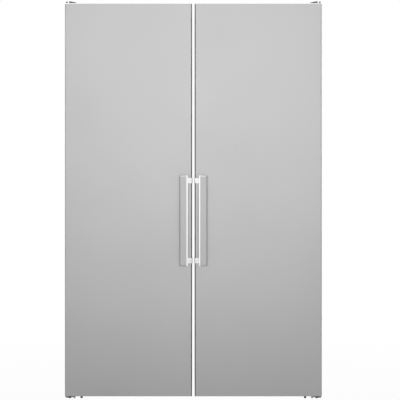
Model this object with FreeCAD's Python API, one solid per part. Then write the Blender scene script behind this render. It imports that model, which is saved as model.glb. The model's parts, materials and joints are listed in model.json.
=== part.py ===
"""A side-by-side pair: an upright freezer on the left and a larder fridge on the right.

Each unit is a foamed cabinet on its own feet and rollers, with one full-height door hinged at the outer
side. The two units stand side by side with an open gap between them.

Millimetres. +X to the right, +Y to the back, +Z up. The origin is on the floor, under the middle of the pair.
A piece is first made in its unit's own frame: x is 0 at the hinge side and grows towards the free side.
"""

import FreeCAD
import Part

import math
import os
from dataclasses import dataclass

from FreeCAD import Vector

# The pair as a whole
unit_width = 595.0  # one cabinet, and the door in front of it
unit_gap = 13.0  # open gap between the two units
body_depth = 630.0  # door front to cabinet back
door_height = 1837.0
door_floor_gap = 20.0  # floor to the lower edge of the doors
cabinet_floor_gap = 30.0  # floor to the underside of the cabinets
hinge_plate_gap = 2.5  # upper edge of a door to the hinge plate over it

# Clearances
running_clearance = 0.05  # a pin or shaft in its bore, on the radius
button_clearance = 0.25
seat_clearance = 0.4  # a drawer over what it slides on, a rotor beside its motor

# Doors
door_thickness = 58.0
door_edge_radius = 6.0
door_skin_sheet = 1.0
door_liner_sheet = 2.0
door_cap_height = 18.0
door_panel_depth = 8.0  # raised panel of the door liner
door_panel_radius = 16.0
door_panel_gap = 12.0  # raised panel to the edge of the cavity behind it
dike_width = 22.0  # upright ribs that hold the racks of the fridge door
dike_depth = 45.0
dike_radius = 14.0

# Door gasket
gasket_gap = 12.0  # back of a door to the front of its cabinet
gasket_clearance = 0.3
gasket_inset = 24.0  # edge of the door to the outside of the gasket
gasket_foot_inset = 50.0  # the same at the lower edge, clear of the lower hinge
gasket_base_width = 18.0
gasket_base_thickness = 3.0
gasket_bulb_width = 10.0

# Hinges
hinge_inset_x = 7.0  # outer side of the door to the hinge axis
hinge_inset_y = 30.0  # front of the door to the hinge axis
hinge_pin_radius = 4.0
hinge_pin_depth = 12.0  # length of pin inside a door cap
hinge_pin_head = 8.0  # what stands above the upper hinge plate
hinge_pin_head_radius = 2.0
hinge_plate = 3.0
hinge_plate_width = 52.0
hinge_plate_reach = 64.0  # how far the upper plate lies on the cabinet
hinge_nose = 9.0  # plate in front of the hinge axis
hinge_cover_inset = 18.0  # outer side of the unit to the hinge cover
hinge_cover_width = 35.0
hinge_cover_height = 8.5
hinge_cover_tail = 3.0  # height of the cover at its lower end
hinge_cover_wall = 2.0
lower_hinge_plate = 4.0
lower_hinge_width = 45.0
lower_hinge_inset = 1.0
lower_hinge_stop = 19.5  # outer side of the unit to the lip that stops the door
lower_hinge_reach = 70.0
lower_hinge_gap = 4.0  # lower edge of the door to the hinge plate under it
lower_hinge_lip = 5.0
thrust_washer_radius = 6.0

# Handles
handle_projection = 44.0  # door front to handle front
handle_length = 423.0
handle_base = 631.0  # floor to the lower end of the handle
handle_bar_width = 31.0
handle_bar_thickness = 13.0
handle_edge_gap = 18.5  # free side of the door to the handle
handle_rail_width = 7.5  # bright rail beside the bar
handle_rail_setback = 2.0
handle_strap = 3.0
handle_strap_height = 25.0
handle_strap_inset = 12.5  # end of the handle to its strap
handle_strap_lap = 25.0  # strap behind the bar
handle_strap_leg = 34.0  # strap along the side of the door
handle_strap_bend = 6.0

# Cabinets
shell_sheet = 1.0
shell_edge_radius = 7.0
front_lip = 44.0  # folded front edge of the shell, which the gasket holds to
apron_height = 62.0
tray_sheet = 1.5
tray_height = 30.0
tray_rear_flange = 18.0
back_sheet = 1.0
back_recess = 4.0
back_bead_width = 24.0
back_bead_depth = 2.5
liner_sheet = 2.0
cavity_radius = 22.0
machine_height = 215.0
machine_depth = 190.0
step_wall = 60.0  # foam between the machine space and the cavity

# Insulation and fittings of the freezer
freezer_wall = 65.0
freezer_ceiling = 72.0
freezer_back_wall = 62.0
freezer_base = 85.0  # underside of the cabinet to the floor of the cavity
freezer_duct_depth = 70.0
freezer_drawer_count = 6
freezer_drawer_setback = 36.0  # cabinet front to drawer front
freezer_head_space = 30.0

# Insulation and fittings of the fridge
fridge_wall = 48.0
fridge_ceiling = 60.0
fridge_back_wall = 52.0
fridge_base = 75.0
fridge_duct_depth = 50.0
fridge_drawer_setback = 110.0
fridge_shelf_setback = 100.0
fridge_head_space = 40.0
open_shelf_count = 4
crisper_height = 205.0
chiller_height = 150.0

# Shelves and drawers
glass_thickness = 4.0
glass_side_gap = 2.0
ledge_width = 9.0
ledge_thickness = 3.0
shelf_back_gap = 2.0
trim_depth = 14.0
trim_lip = 2.5
trim_wall = 3.0
drawer_wall = 2.5
drawer_front = 6.0
drawer_draft = 6.0  # how much narrower a tub is at its foot, on each side
drawer_radius = 14.0
drawer_side_gap = 4.0  # drawer front to the cavity wall
drawer_ledge_gap = 4.0  # tub to the ledges beside it
drawer_head_gap = 12.0
drawer_back_gap = 8.0
drawer_rim_drop = 10.0
drawer_rim_lip = 3.0  # rim that stands out round the top of a tub
drawer_rim_height = 4.0
grip_width = 150.0
grip_height = 24.0
grip_drop = 18.0
grip_hood = 8.0

# Racks of the fridge door
rack_count = 5
rack_first = 190.0  # floor to the lowest rack
rack_spacing = 310.0
rack_depth = 85.0
rack_height = 72.0
rack_wall = 2.5
rack_radius = 16.0
rack_side_gap = 0.5
rack_lug = 8.0

# Air ducts, fans and evaporators
duct_sheet = 2.5
duct_side_gap = 6.0
duct_head_gap = 10.0
duct_radius = 12.0
duct_slot_height = 8.0
duct_slot_length = 120.0
duct_slot_drop = 46.0  # shelf above to the slot
fan_radius = 44.0
fan_hub_radius = 15.0
fan_hub_length = 18.0
fan_blades = 5
fan_blade_chord = 26.0
fan_blade_thickness = 2.0
fan_blade_pitch = 38.0
fan_front_gap = 6.0
fan_drop = 180.0  # ceiling of the cavity to the fan axis
fan_shaft_radius = 2.5
fan_shaft_length = 10.0
fan_motor_radius = 18.0
grille_slot = 6.0
grille_pitch = 11.0
evaporator_width = 330.0
evaporator_height = 200.0
evaporator_depth = 36.0
evaporator_lift = 30.0
evaporator_fins = 22
evaporator_fin = 1.5

# Controls and light
panel_width = 240.0
panel_depth = 60.0
panel_height = 24.0
panel_setback = 18.0
panel_radius = 4.0
display_width = 70.0
display_height = 12.0
display_recess = 0.8
button_radius = 7.0
button_proud = 2.5
button_travel = 1.5
button_chamfer = 0.8
button_offset = 70.0
light_width = 200.0
light_depth = 34.0
light_height = 7.0
light_setback = 110.0

# Feet and rollers
foot_radius = 5.5
foot_pad = 8.0
foot_stud_radius = 4.0
foot_nut_radius = 9.0
foot_nut_height = 12.0
foot_inset_x = 72.0
outer_foot_setback = 16.0  # cabinet front to the foot beside the hinge
inner_foot_setback = 92.0
roller_radius = 14.0
roller_width = 22.0
roller_axle_radius = 3.0
roller_inset_x = 60.0
roller_inset_y = 60.0
roller_ear = 2.0
roller_ear_width = 20.0
roller_side_gap = 0.5

# Cooling machine
compressor_radius = 72.0
compressor_height = 148.0
compressor_seam = 4.0
compressor_seat_radius = 22.0
compressor_plate_length = 210.0
compressor_plate_width = 120.0
compressor_plate = 3.0
compressor_gap = 70.0  # base plate of a compressor to the condenser beside it
mount_radius = 11.0
mount_height = 14.0
mount_neck_radius = 7.0
mount_inset = 14.0
terminal_box_width = 60.0
terminal_box_depth = 26.0
terminal_box_height = 56.0
pipe_radius = 3.5
pipe_stub = 30.0
pipe_bend = 12.0
suction_offset = 24.0  # middle of the compressor to its suction pipe
drip_tray_length = 190.0
drip_tray_width = 120.0
drip_tray_height = 30.0
drip_tray_wall = 2.0
drip_tray_radius = 10.0
condenser_tube_radius = 2.5
condenser_loops = 5  # each a pass to and a pass fro
condenser_pitch = 16.0
condenser_length = 150.0
condenser_strap = 3.0
condenser_strap_width = 12.0
condenser_gap_x = 30.0
condenser_gap_y = 45.0
drier_radius = 8.0
drier_length = 60.0
drier_taper = 8.0

# Screws
screw_radius = 2.5
screw_head_radius = 4.5
screw_head_height = 2.5

# Levels and planes worked out from the sizes above
overall_depth = body_depth + handle_projection
cabinet_back = overall_depth / 2
door_front = cabinet_back - body_depth
door_back = door_front + door_thickness
cabinet_front = door_back + gasket_gap
handle_front = door_front - handle_projection
door_bottom = door_floor_gap
door_top = door_bottom + door_height
cabinet_bottom = cabinet_floor_gap
cabinet_top = door_top + hinge_plate_gap
hinge_y = door_front + hinge_inset_y
machine_top = cabinet_bottom + machine_height
machine_front = cabinet_back - machine_depth
step_top = machine_top + step_wall
step_front = machine_front - step_wall
tray_floor = cabinet_bottom + tray_sheet
foam_bottom = cabinet_bottom + tray_height
back_plane = cabinet_back - back_recess
door_sheet_back = door_back - door_liner_sheet


@dataclass(frozen=True)
class Unit:
    """One cabinet of the pair, with the sizes in which the two differ."""

    name: str
    mirrored: bool
    wall: float
    ceiling_wall: float
    back_wall: float
    base: float
    duct_depth: float

    @property
    def floor(self):
        """Height of the cavity's floor."""
        return cabinet_bottom + self.base

    @property
    def ceiling(self):
        """Height of the cavity's ceiling."""
        return cabinet_top - self.ceiling_wall

    @property
    def cavity_back(self):
        """Rear wall of the cavity."""
        return cabinet_back - self.back_wall

    @property
    def duct_front(self):
        """Front of the air duct on the rear wall."""
        return self.cavity_back - self.duct_depth

    @property
    def panel_inset(self):
        """Side of the door to the raised panel of its liner."""
        return self.wall + door_panel_gap

    @property
    def fan_height(self):
        """Height of the fan axis."""
        return self.ceiling - fan_drop

    def place(self, shape):
        """Moves a shape from the unit's own frame to its place in the pair."""
        if self.mirrored:
            turned = shape.mirror(Vector(0, 0, 0), Vector(1, 0, 0))
            return turned.translated(Vector(unit_gap / 2 + unit_width, 0, 0))
        return shape.translated(Vector(-unit_gap / 2 - unit_width, 0, 0))


freezer = Unit(
    "freezer", False, freezer_wall, freezer_ceiling, freezer_back_wall, freezer_base, freezer_duct_depth
)
fridge = Unit("fridge", True, fridge_wall, fridge_ceiling, fridge_back_wall, fridge_base, fridge_duct_depth)
units = (freezer, fridge)

# Heights of the freezer's glass shelves and of the space that each drawer has
freezer_pitch = (freezer.ceiling - freezer_head_space - freezer.floor) / freezer_drawer_count
freezer_levels = [freezer.floor + n * freezer_pitch for n in range(1, freezer_drawer_count)]

# Heights of the fridge's glass shelves: over the crisper, over the chiller, then the open ones
crisper_cover = fridge.floor + crisper_height + drawer_head_gap
chiller_cover = crisper_cover + glass_thickness + chiller_height + drawer_head_gap
open_pitch = (fridge.ceiling - fridge_head_space - chiller_cover) / (open_shelf_count + 1)
fridge_levels = [crisper_cover, chiller_cover]
fridge_levels += [chiller_cover + n * open_pitch for n in range(1, open_shelf_count + 1)]

rack_levels = [rack_first + n * rack_spacing for n in range(rack_count)]


# Drawing helpers


def in_plan(z):
    """A plane for outlines of x and y, at a height."""
    return lambda a, b: Vector(a, b, z)


def in_front(y):
    """A plane for outlines of x and z, at a depth."""
    return lambda a, b: Vector(a, y, b)


def in_side(x):
    """A plane for outlines of y and z, at a place across the unit."""
    return lambda a, b: Vector(x, a, b)


def outline(corners, plane):
    """A closed wire through corners, each (a, b) or (a, b, radius) where the corner is rounded."""
    arcs = []
    count = len(corners)
    for n, corner in enumerate(corners):
        here = plane(*corner[:2])
        radius = corner[2] if len(corner) > 2 else 0.0
        if radius <= 0:
            arcs.append((here, None, here))
            continue
        back = (plane(*corners[n - 1][:2]) - here).normalize()
        ahead = (plane(*corners[(n + 1) % count][:2]) - here).normalize()
        half = back.getAngle(ahead) / 2
        middle = (back + ahead).normalize()
        reach = radius / math.tan(half)
        dip = radius / math.sin(half) - radius
        arcs.append((here + back * reach, here + middle * dip, here + ahead * reach))
    edges = []
    for n, (start, middle, end) in enumerate(arcs):
        if middle is not None:
            edges.append(Part.Arc(start, middle, end).toShape())
        following = arcs[(n + 1) % count][0]
        if end.distanceToPoint(following) > 1e-7:
            edges.append(Part.LineSegment(end, following).toShape())
    return Part.Wire(edges)


def prism(corners, plane, along):
    """The solid that an outline makes when it is drawn along a vector."""
    return Part.Face(outline(corners, plane)).extrude(Vector(*along))


def rectangle(a0, b0, a1, b1, radius=0.0):
    """The corners of a rectangle, all rounded alike."""
    return [(a0, b0, radius), (a1, b0, radius), (a1, b1, radius), (a0, b1, radius)]


def block(low, high):
    """A box between two corners."""
    size = [b - a for a, b in zip(low, high)]
    return Part.makeBox(*size, Vector(*low))


def rod(radius, start, along):
    """A round bar from a point along a vector."""
    way = Vector(*along)
    return Part.makeCylinder(radius, way.Length, Vector(*start), way)


def bent_tube(points, radius, bend):
    """A round bar along straight runs, with each corner between them rounded to a bend."""
    corners = [Vector(*point) for point in points]
    arcs = [(corners[0], None, corners[0])]
    for before, here, after in zip(corners, corners[1:], corners[2:]):
        back, ahead = (before - here).normalize(), (after - here).normalize()
        dip = bend * (math.sqrt(2) - 1)
        middle = here + (back + ahead).normalize() * dip
        arcs.append((here + back * bend, middle, here + ahead * bend))
    arcs.append((corners[-1], None, corners[-1]))
    edges = []
    for (start, middle, end), (following, _, _) in zip(arcs, arcs[1:] + arcs[-1:]):
        if middle is not None:
            edges.append(Part.Arc(start, middle, end).toShape())
        if end.distanceToPoint(following) > 1e-6:
            edges.append(Part.LineSegment(end, following).toShape())
    ring = Part.Wire(Part.makeCircle(radius, corners[0], corners[1] - corners[0]))
    return Part.Wire(edges).makePipe(Part.Face(ring))


def joined(shapes):
    """One solid out of several that overlap or touch."""
    return shapes[0].multiFuse(shapes[1:]).removeSplitter()


def both_sides(shape):
    """A shape and its mirror image about the middle of the unit."""
    image = shape.mirror(Vector(unit_width / 2, 0, 0), Vector(1, 0, 0))
    return [shape, image]


# Cabinet


def outer_shell():
    """The folded sheet that makes the two sides and the top, with its front lip."""
    far = unit_width - shell_sheet
    inner_top = cabinet_top - shell_sheet
    inner_radius = shell_edge_radius - shell_sheet
    wrapper = [
        (0, cabinet_bottom),
        (0, cabinet_top, shell_edge_radius),
        (unit_width, cabinet_top, shell_edge_radius),
        (unit_width, cabinet_bottom),
        (far, cabinet_bottom),
        (far, inner_top, inner_radius),
        (shell_sheet, inner_top, inner_radius),
        (shell_sheet, cabinet_bottom),
    ]
    lip = [
        (0, cabinet_bottom),
        (0, cabinet_top, shell_edge_radius),
        (unit_width, cabinet_top, shell_edge_radius),
        (unit_width, cabinet_bottom),
        (unit_width - front_lip, cabinet_bottom),
        (unit_width - front_lip, cabinet_top - front_lip),
        (front_lip, cabinet_top - front_lip),
        (front_lip, cabinet_bottom),
    ]
    plane = in_front(cabinet_front)
    return joined(
        [
            prism(wrapper, plane, (0, cabinet_back - cabinet_front, 0)),
            prism(lip, plane, (0, shell_sheet, 0)),
        ]
    )


def foot_places():
    """Where the two front feet stand, in the unit's own frame: at the hinge side, then at the free side."""
    return [
        (foot_inset_x, cabinet_front + outer_foot_setback),
        (unit_width - foot_inset_x, cabinet_front + inner_foot_setback),
    ]


def roller_places():
    """The middle of each rear roller, in the unit's own frame."""
    y = cabinet_back - roller_inset_y
    return [(x, y, roller_radius) for x in (roller_inset_x, unit_width - roller_inset_x)]


def base_tray():
    """The steel tray under the cabinet: front apron, nuts for the feet and ears for the rollers."""
    low, far = shell_sheet, unit_width - shell_sheet
    front = cabinet_front + shell_sheet
    wall_end = machine_front - back_sheet
    pieces = [
        block((low, front, cabinet_bottom), (far, cabinet_back, tray_floor)),
        block(
            (front_lip, cabinet_front, cabinet_bottom),
            (unit_width - front_lip, cabinet_front + tray_sheet, cabinet_bottom + apron_height),
        ),
        block(
            (low, cabinet_back - tray_sheet, cabinet_bottom),
            (far, cabinet_back, cabinet_bottom + tray_rear_flange),
        ),
    ]
    pieces += both_sides(block((low, front, cabinet_bottom), (low + tray_sheet, wall_end, foam_bottom)))
    for x, y in foot_places():
        pieces.append(rod(foot_nut_radius, (x, y, cabinet_bottom), (0, 0, tray_sheet + foot_nut_height)))
    for x, y, z in roller_places():
        for side in (-1, 1):
            pieces.append(roller_ear_plate(x, y, z, side))
    tray = joined(pieces)
    for x, y in foot_places():
        bore = foot_stud_radius + running_clearance
        tray = tray.cut(rod(bore, (x, y, cabinet_bottom - 1), (0, 0, tray_height)))
    for x, y, z in roller_places():
        bore = roller_axle_radius + running_clearance
        tray = tray.cut(rod(bore, (x - roller_width, y, z), (2 * roller_width, 0, 0)))
    return tray


def roller_ear_plate(x, y, z, side):
    """One of the two ears that carry a roller's axle."""
    inner = x + side * (roller_width / 2 + roller_side_gap)
    outer = inner + side * roller_ear
    half = roller_ear_width / 2
    corners = [
        (y - half, cabinet_bottom),
        (y + half, cabinet_bottom),
        (y + half, z - half, half * 0.9),
        (y - half, z - half, half * 0.9),
    ]
    return prism(corners, in_side(min(inner, outer)), (roller_ear, 0, 0))


def back_panel():
    """The rear sheet, folded inwards over the machine space and down to the tray, with two beads."""
    profile = [
        (back_plane, cabinet_top - shell_sheet),
        (back_plane, machine_top),
        (machine_front, machine_top),
        (machine_front, tray_floor),
        (machine_front - back_sheet, tray_floor),
        (machine_front - back_sheet, machine_top + back_sheet),
        (back_plane - back_sheet, machine_top + back_sheet),
        (back_plane - back_sheet, cabinet_top - shell_sheet),
    ]
    span = unit_width - 2 * shell_sheet
    sheet = prism(profile, in_side(shell_sheet), (span, 0, 0))
    corner = prism(cabinet_section(0), in_front(machine_front - 2 * back_sheet), (0, machine_depth, 0))
    bead_middle = unit_width / 4
    bead = [
        (bead_middle - back_bead_width / 2, back_plane),
        (bead_middle - back_bead_width / 4, back_plane + back_bead_depth),
        (bead_middle + back_bead_width / 4, back_plane + back_bead_depth),
        (bead_middle + back_bead_width / 2, back_plane),
    ]
    margin = 4 * back_bead_width
    bead_length = cabinet_top - machine_top - 2 * margin
    beads = both_sides(prism(bead, in_plan(machine_top + margin), (0, 0, bead_length)))
    return joined([sheet.common(corner)] + beads)


def cabinet_section(bottom):
    """The inside of the shell seen from the front, down to a height."""
    radius = shell_edge_radius - shell_sheet
    low, far, top = shell_sheet, unit_width - shell_sheet, cabinet_top - shell_sheet
    return [(low, bottom), (low, top, radius), (far, top, radius), (far, bottom)]


def cavity(unit, wall):
    """The room inside the liner, grown by a wall on every side but the front."""
    radius = cavity_radius + wall
    opening = rectangle(
        unit.wall - wall, unit.floor - wall, unit_width - unit.wall + wall, unit.ceiling + wall, radius
    )
    room = prism(opening, in_front(cabinet_front), (0, unit.cavity_back + wall - cabinet_front, 0))
    step = block((0, step_front + wall, 0), (unit_width, cabinet_back, step_top - wall))
    return room.cut(step)


def cabinet_foam(unit):
    """The foam between the shell and the liner, with the step over the machine space."""
    front = cabinet_front + liner_sheet
    inner_back = back_plane - back_sheet
    inner_step = machine_top + back_sheet
    profile = [
        (front, foam_bottom),
        (front, cabinet_top - shell_sheet),
        (inner_back, cabinet_top - shell_sheet),
        (inner_back, inner_step),
        (machine_front - back_sheet, inner_step),
        (machine_front - back_sheet, foam_bottom),
    ]
    slab = prism(profile, in_side(shell_sheet), (unit_width - 2 * shell_sheet, 0, 0))
    section = prism(cabinet_section(0), in_front(cabinet_front), (0, body_depth, 0))
    return slab.common(section).cut(cavity(unit, liner_sheet))


def ledge(unit, level, start):
    """A formed ledge along one side of the liner, under a shelf."""
    corners = [
        (unit.wall - liner_sheet / 2, level),
        (unit.wall + ledge_width, level),
        (unit.wall + ledge_width, level - ledge_thickness),
        (unit.wall - liner_sheet / 2, level - ledge_thickness - ledge_width),
    ]
    return prism(corners, in_front(start), (0, unit.duct_front - start, 0))


def inner_liner(unit, levels, ledge_start):
    """The formed plastic liner: the cavity's walls, its front flange and the shelf ledges."""
    flange = block(
        (front_lip, cabinet_front, cabinet_bottom + apron_height),
        (unit_width - front_lip, cabinet_front + liner_sheet, cabinet_top - front_lip),
    )
    walls = joined([cavity(unit, liner_sheet), flange]).cut(cavity(unit, 0))
    ledges = []
    for level in levels:
        ledges += both_sides(ledge(unit, level, ledge_start))
    return joined([walls] + ledges)


def glass_shelf(unit, level, front):
    """A glass shelf that lies on a pair of ledges."""
    inset = unit.wall + glass_side_gap
    back = unit.duct_front - shelf_back_gap
    return block((inset, front, level), (unit_width - inset, back, level + glass_thickness))


def shelf_trim(unit, level):
    """The channel along the front edge of a glass shelf."""
    front = cabinet_front + fridge_shelf_setback
    top, low = level + glass_thickness, level - trim_lip
    slot, back = front + trim_wall, front + trim_depth
    corners = [
        (front, low, trim_lip / 2),
        (front, top + trim_lip, trim_lip / 2),
        (back, top + trim_lip),
        (back, top),
        (slot, top),
        (slot, level),
        (back, level),
        (back, low),
    ]
    inset = unit.wall + ledge_width + glass_side_gap
    return prism(corners, in_side(inset), (unit_width - 2 * inset, 0, 0))


# Air duct, fan and evaporator


def air_duct(unit, levels):
    """The cover on the rear wall, with slots under the shelves and a grille in front of the fan."""
    inset = unit.wall + duct_side_gap
    top = unit.ceiling - duct_head_gap
    plan = [
        (inset, unit.cavity_back),
        (inset, unit.duct_front, duct_radius),
        (unit_width - inset, unit.duct_front, duct_radius),
        (unit_width - inset, unit.cavity_back),
    ]
    wall, radius = duct_sheet, duct_radius - duct_sheet
    hollow = [
        (inset + wall, unit.cavity_back),
        (inset + wall, unit.duct_front + wall, radius),
        (unit_width - inset - wall, unit.duct_front + wall, radius),
        (unit_width - inset - wall, unit.cavity_back),
    ]
    cover = prism(plan, in_plan(step_top), (0, 0, top - step_top))
    cover = cover.cut(prism(hollow, in_plan(step_top + wall), (0, 0, top - step_top - 2 * wall)))
    through = (0, 2 * wall, 0)
    plane = in_front(unit.duct_front - wall / 2)
    slots = []
    for level in levels:
        middle = level - duct_slot_drop
        if middle - duct_slot_height < step_top + wall:
            continue
        slot = rectangle(
            inset + 2 * duct_radius,
            middle - duct_slot_height / 2,
            inset + 2 * duct_radius + duct_slot_length,
            middle + duct_slot_height / 2,
            duct_slot_height * 0.45,
        )
        slots += both_sides(prism(slot, plane, through))
    slots += [prism(corners, plane, through) for corners in grille_slots(unit)]
    return cover.cut(Part.makeCompound(slots))


def grille_slots(unit):
    """The outlines of the level slots that fill a circle in front of the fan."""
    found = []
    rows = int(fan_radius // grille_pitch)
    for row in range(-rows, rows + 1):
        z = unit.fan_height + row * grille_pitch
        half = math.sqrt(fan_radius**2 - (row * grille_pitch) ** 2)
        if half > 2 * grille_slot:
            found.append(
                rectangle(
                    unit_width / 2 - half,
                    z - grille_slot / 2,
                    unit_width / 2 + half,
                    z + grille_slot / 2,
                    grille_slot * 0.45,
                )
            )
    return found


def fan_face(unit):
    """Where the motor ends and the rotor begins, along y."""
    return unit.duct_front + duct_sheet + fan_front_gap + fan_hub_length + seat_clearance


def fan_motor(unit):
    """The motor on the rear wall, bored for the shaft of the rotor."""
    face = fan_face(unit)
    start = (unit_width / 2, face, unit.fan_height)
    body = rod(fan_motor_radius, start, (0, unit.cavity_back - face, 0))
    bore = rod(fan_shaft_radius + running_clearance, start, (0, fan_shaft_length + seat_clearance, 0))
    return body.cut(bore)


def fan_rotor(unit):
    """The rotor: a hub with its shaft, and pitched blades trimmed to a circle."""
    back = fan_face(unit) - seat_clearance
    middle = Vector(unit_width / 2, back - fan_hub_length / 2, unit.fan_height)
    pieces = [
        rod(fan_hub_radius, (middle.x, back, middle.z), (0, -fan_hub_length, 0)),
        rod(fan_shaft_radius, (middle.x, back, middle.z), (0, fan_shaft_length, 0)),
    ]
    disc = rod(fan_radius - grille_slot / 2, (middle.x, back, middle.z), (0, -fan_hub_length, 0))
    for n in range(fan_blades):
        blade = block(
            (-fan_blade_chord / 2, -fan_blade_thickness / 2, fan_hub_radius * 0.6),
            (fan_blade_chord / 2, fan_blade_thickness / 2, fan_radius),
        )
        blade.rotate(Vector(0, 0, 0), Vector(0, 0, 1), fan_blade_pitch)
        blade.rotate(Vector(0, 0, 0), Vector(0, 1, 0), 360.0 * n / fan_blades)
        pieces.append(blade.translated(middle).common(disc))
    return joined(pieces)


def evaporator(unit):
    """The finned block behind the duct cover, on the rear wall."""
    left = (unit_width - evaporator_width) / 2
    back = unit.cavity_back
    plate = 2 * evaporator_fin
    low = step_top + evaporator_lift
    pieces = [block((left, back - plate, low), (left + evaporator_width, back, low + evaporator_height))]
    pitch = (evaporator_width - evaporator_fin) / (evaporator_fins - 1)
    for n in range(evaporator_fins):
        x = left + n * pitch
        pieces.append(
            block((x, back - evaporator_depth, low), (x + evaporator_fin, back, low + evaporator_height))
        )
    return joined(pieces)


# Controls and light


def control_panel(unit):
    """The panel under the ceiling, with a shallow display window and a bore for its button."""
    left = (unit_width - panel_width) / 2
    front = cabinet_front + panel_setback
    low = unit.ceiling - panel_height
    corners = [
        (front, low, panel_radius),
        (front + panel_depth, low, panel_radius),
        (front + panel_depth, unit.ceiling),
        (front, unit.ceiling),
    ]
    body = prism(corners, in_side(left), (panel_width, 0, 0))
    middle = (low + unit.ceiling) / 2
    window = rectangle(
        unit_width / 2 - button_offset - display_width / 2,
        middle - display_height / 2,
        unit_width / 2 - button_offset + display_width / 2,
        middle + display_height / 2,
        display_height / 4,
    )
    body = body.cut(prism(window, in_front(front - 1), (0, 1 + display_recess, 0)))
    start = (unit_width / 2 + button_offset, front - 1, middle)
    depth = 1 + button_proud + 2 * button_travel
    return body.cut(rod(button_radius + button_clearance, start, (0, depth, 0)))


def push_button(unit):
    """The button in the control panel, which travels inwards."""
    front = cabinet_front + panel_setback
    middle = unit.ceiling - panel_height / 2
    start = (unit_width / 2 + button_offset, front - button_proud, middle)
    face = rod(button_radius, start, (0, 2 * button_proud, 0))
    bevel = Part.makeCone(
        button_radius - button_chamfer,
        button_radius + 2 * button_proud - button_chamfer,
        2 * button_proud,
        Vector(*start),
        Vector(0, 1, 0),
    )
    return face.common(bevel)


def ceiling_light(unit):
    """The lens of the light on the ceiling, behind the control panel."""
    left = (unit_width - light_width) / 2
    front = cabinet_front + light_setback
    low = unit.ceiling - light_height
    radius = light_height / 2
    corners = [
        (left, unit.ceiling),
        (left, low, radius),
        (left + light_width, low, radius),
        (left + light_width, unit.ceiling),
    ]
    return prism(corners, in_front(front), (0, light_depth, 0))


# Drawers and racks


def drawer(x0, x1, front, back, low, height, ledge_space):
    """A drawer: a tub with drafted sides, and a wider front with a grip slot under a hood."""
    tub_front = front + drawer_front / 2
    rim = low + height - drawer_rim_drop
    left, right = x0 + ledge_space, x1 - ledge_space
    tub = drafted_tub(left, right, tub_front, back, low, rim, 0.0)
    hollow = drafted_tub(left, right, tub_front, back, low, rim, drawer_wall)
    foot_radius = cavity_radius - drawer_side_gap
    head_radius = drawer_radius / 2
    face = [
        (x0, low, foot_radius),
        (x1, low, foot_radius),
        (x1, low + height, head_radius),
        (x0, low + height, head_radius),
    ]
    panel = prism(face, in_front(front), (0, drawer_front, 0))
    middle = (x0 + x1) / 2
    grip_top = low + height - grip_drop
    grip = rectangle(
        middle - grip_width / 2,
        grip_top - grip_height,
        middle + grip_width / 2,
        grip_top,
        grip_height * 0.45,
    )
    hood = [
        (front + drawer_front / 2, grip_top),
        (front - grip_hood, grip_top, drawer_wall / 2),
        (front - grip_hood, grip_top + drawer_wall, drawer_wall / 2),
        (front + drawer_front / 2, grip_top + grip_hood),
    ]
    hood_solid = prism(hood, in_side(middle - grip_width / 2), (grip_width, 0, 0))
    hollow_front = block((left, front + drawer_front, low + drawer_wall), (right, back, rim + 1))
    lip = rectangle(
        left - drawer_rim_lip, tub_front, right + drawer_rim_lip, back + drawer_rim_lip, drawer_radius
    )
    rim_lip = prism(lip, in_plan(rim - drawer_rim_height), (0, 0, drawer_rim_height))
    body = joined([tub, panel, rim_lip]).cut(hollow.common(hollow_front))
    slot = prism(grip, in_front(front - 1), (0, drawer_front + 2, 0))
    return joined([body.cut(slot), hood_solid])


def drafted_tub(left, right, front, back, low, high, wall):
    """A block that narrows towards its foot, taken in by a wall, and open above where it is taken in."""
    foot = low + wall
    top = high + wall
    share = (foot - low) / (high - low)
    wires = []
    for z, draft in ((foot, drawer_draft * (1 - share)), (top, 0.0)):
        inset = wall + draft
        corners = rectangle(left + inset, front + wall, right - inset, back - inset, drawer_radius)
        wires.append(outline(corners, in_plan(z)))
    return Part.makeLoft(wires, True, True)


def freezer_drawer(number):
    """One of the freezer's drawers, counted from the top."""
    place = freezer_drawer_count - number
    base = freezer.floor if place == 0 else freezer_levels[place - 1] + glass_thickness
    head = freezer.floor + (place + 1) * freezer_pitch
    low = base + seat_clearance
    deep_back = freezer.duct_front - drawer_back_gap
    back = min(deep_back, step_front - drawer_back_gap) if low < step_top else deep_back
    inset = freezer.wall + drawer_side_gap
    ledge_space = ledge_width - drawer_side_gap + drawer_ledge_gap
    return drawer(
        inset,
        unit_width - inset,
        cabinet_front + freezer_drawer_setback,
        back,
        low,
        head - low - drawer_head_gap,
        ledge_space,
    )


def fridge_drawer(base, height, back):
    """A drawer of the fridge, on the cavity floor or on a shelf."""
    inset = fridge.wall + drawer_side_gap
    ledge_space = ledge_width - drawer_side_gap + drawer_ledge_gap
    low = base + seat_clearance
    front = cabinet_front + fridge_drawer_setback
    return drawer(inset, unit_width - inset, front, back, low, height - seat_clearance, ledge_space)


def door_rack(level):
    """A rack of the fridge door: an open tray between the two upright ribs."""
    inset = fridge.panel_inset + dike_width + rack_side_gap
    start = door_back + door_panel_depth
    corners = [
        (inset, start),
        (unit_width - inset, start),
        (unit_width - inset, start + rack_depth, rack_radius),
        (inset, start + rack_depth, rack_radius),
    ]
    wall, radius = rack_wall, rack_radius - rack_wall
    hollow = [
        (inset + wall, start + wall),
        (unit_width - inset - wall, start + wall),
        (unit_width - inset - wall, start + rack_depth - wall, radius),
        (inset + wall, start + rack_depth - wall, radius),
    ]
    tray = prism(corners, in_plan(level), (0, 0, rack_height))
    return tray.cut(prism(hollow, in_plan(level + wall), (0, 0, rack_height)))


# Doors


def door_plan(inset, back):
    """A door seen from above, taken in by an inset, with rounded front edges."""
    radius = door_edge_radius - inset
    front = door_front + inset
    return [
        (inset, back),
        (inset, front, radius),
        (unit_width - inset, front, radius),
        (unit_width - inset, back),
    ]


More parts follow.
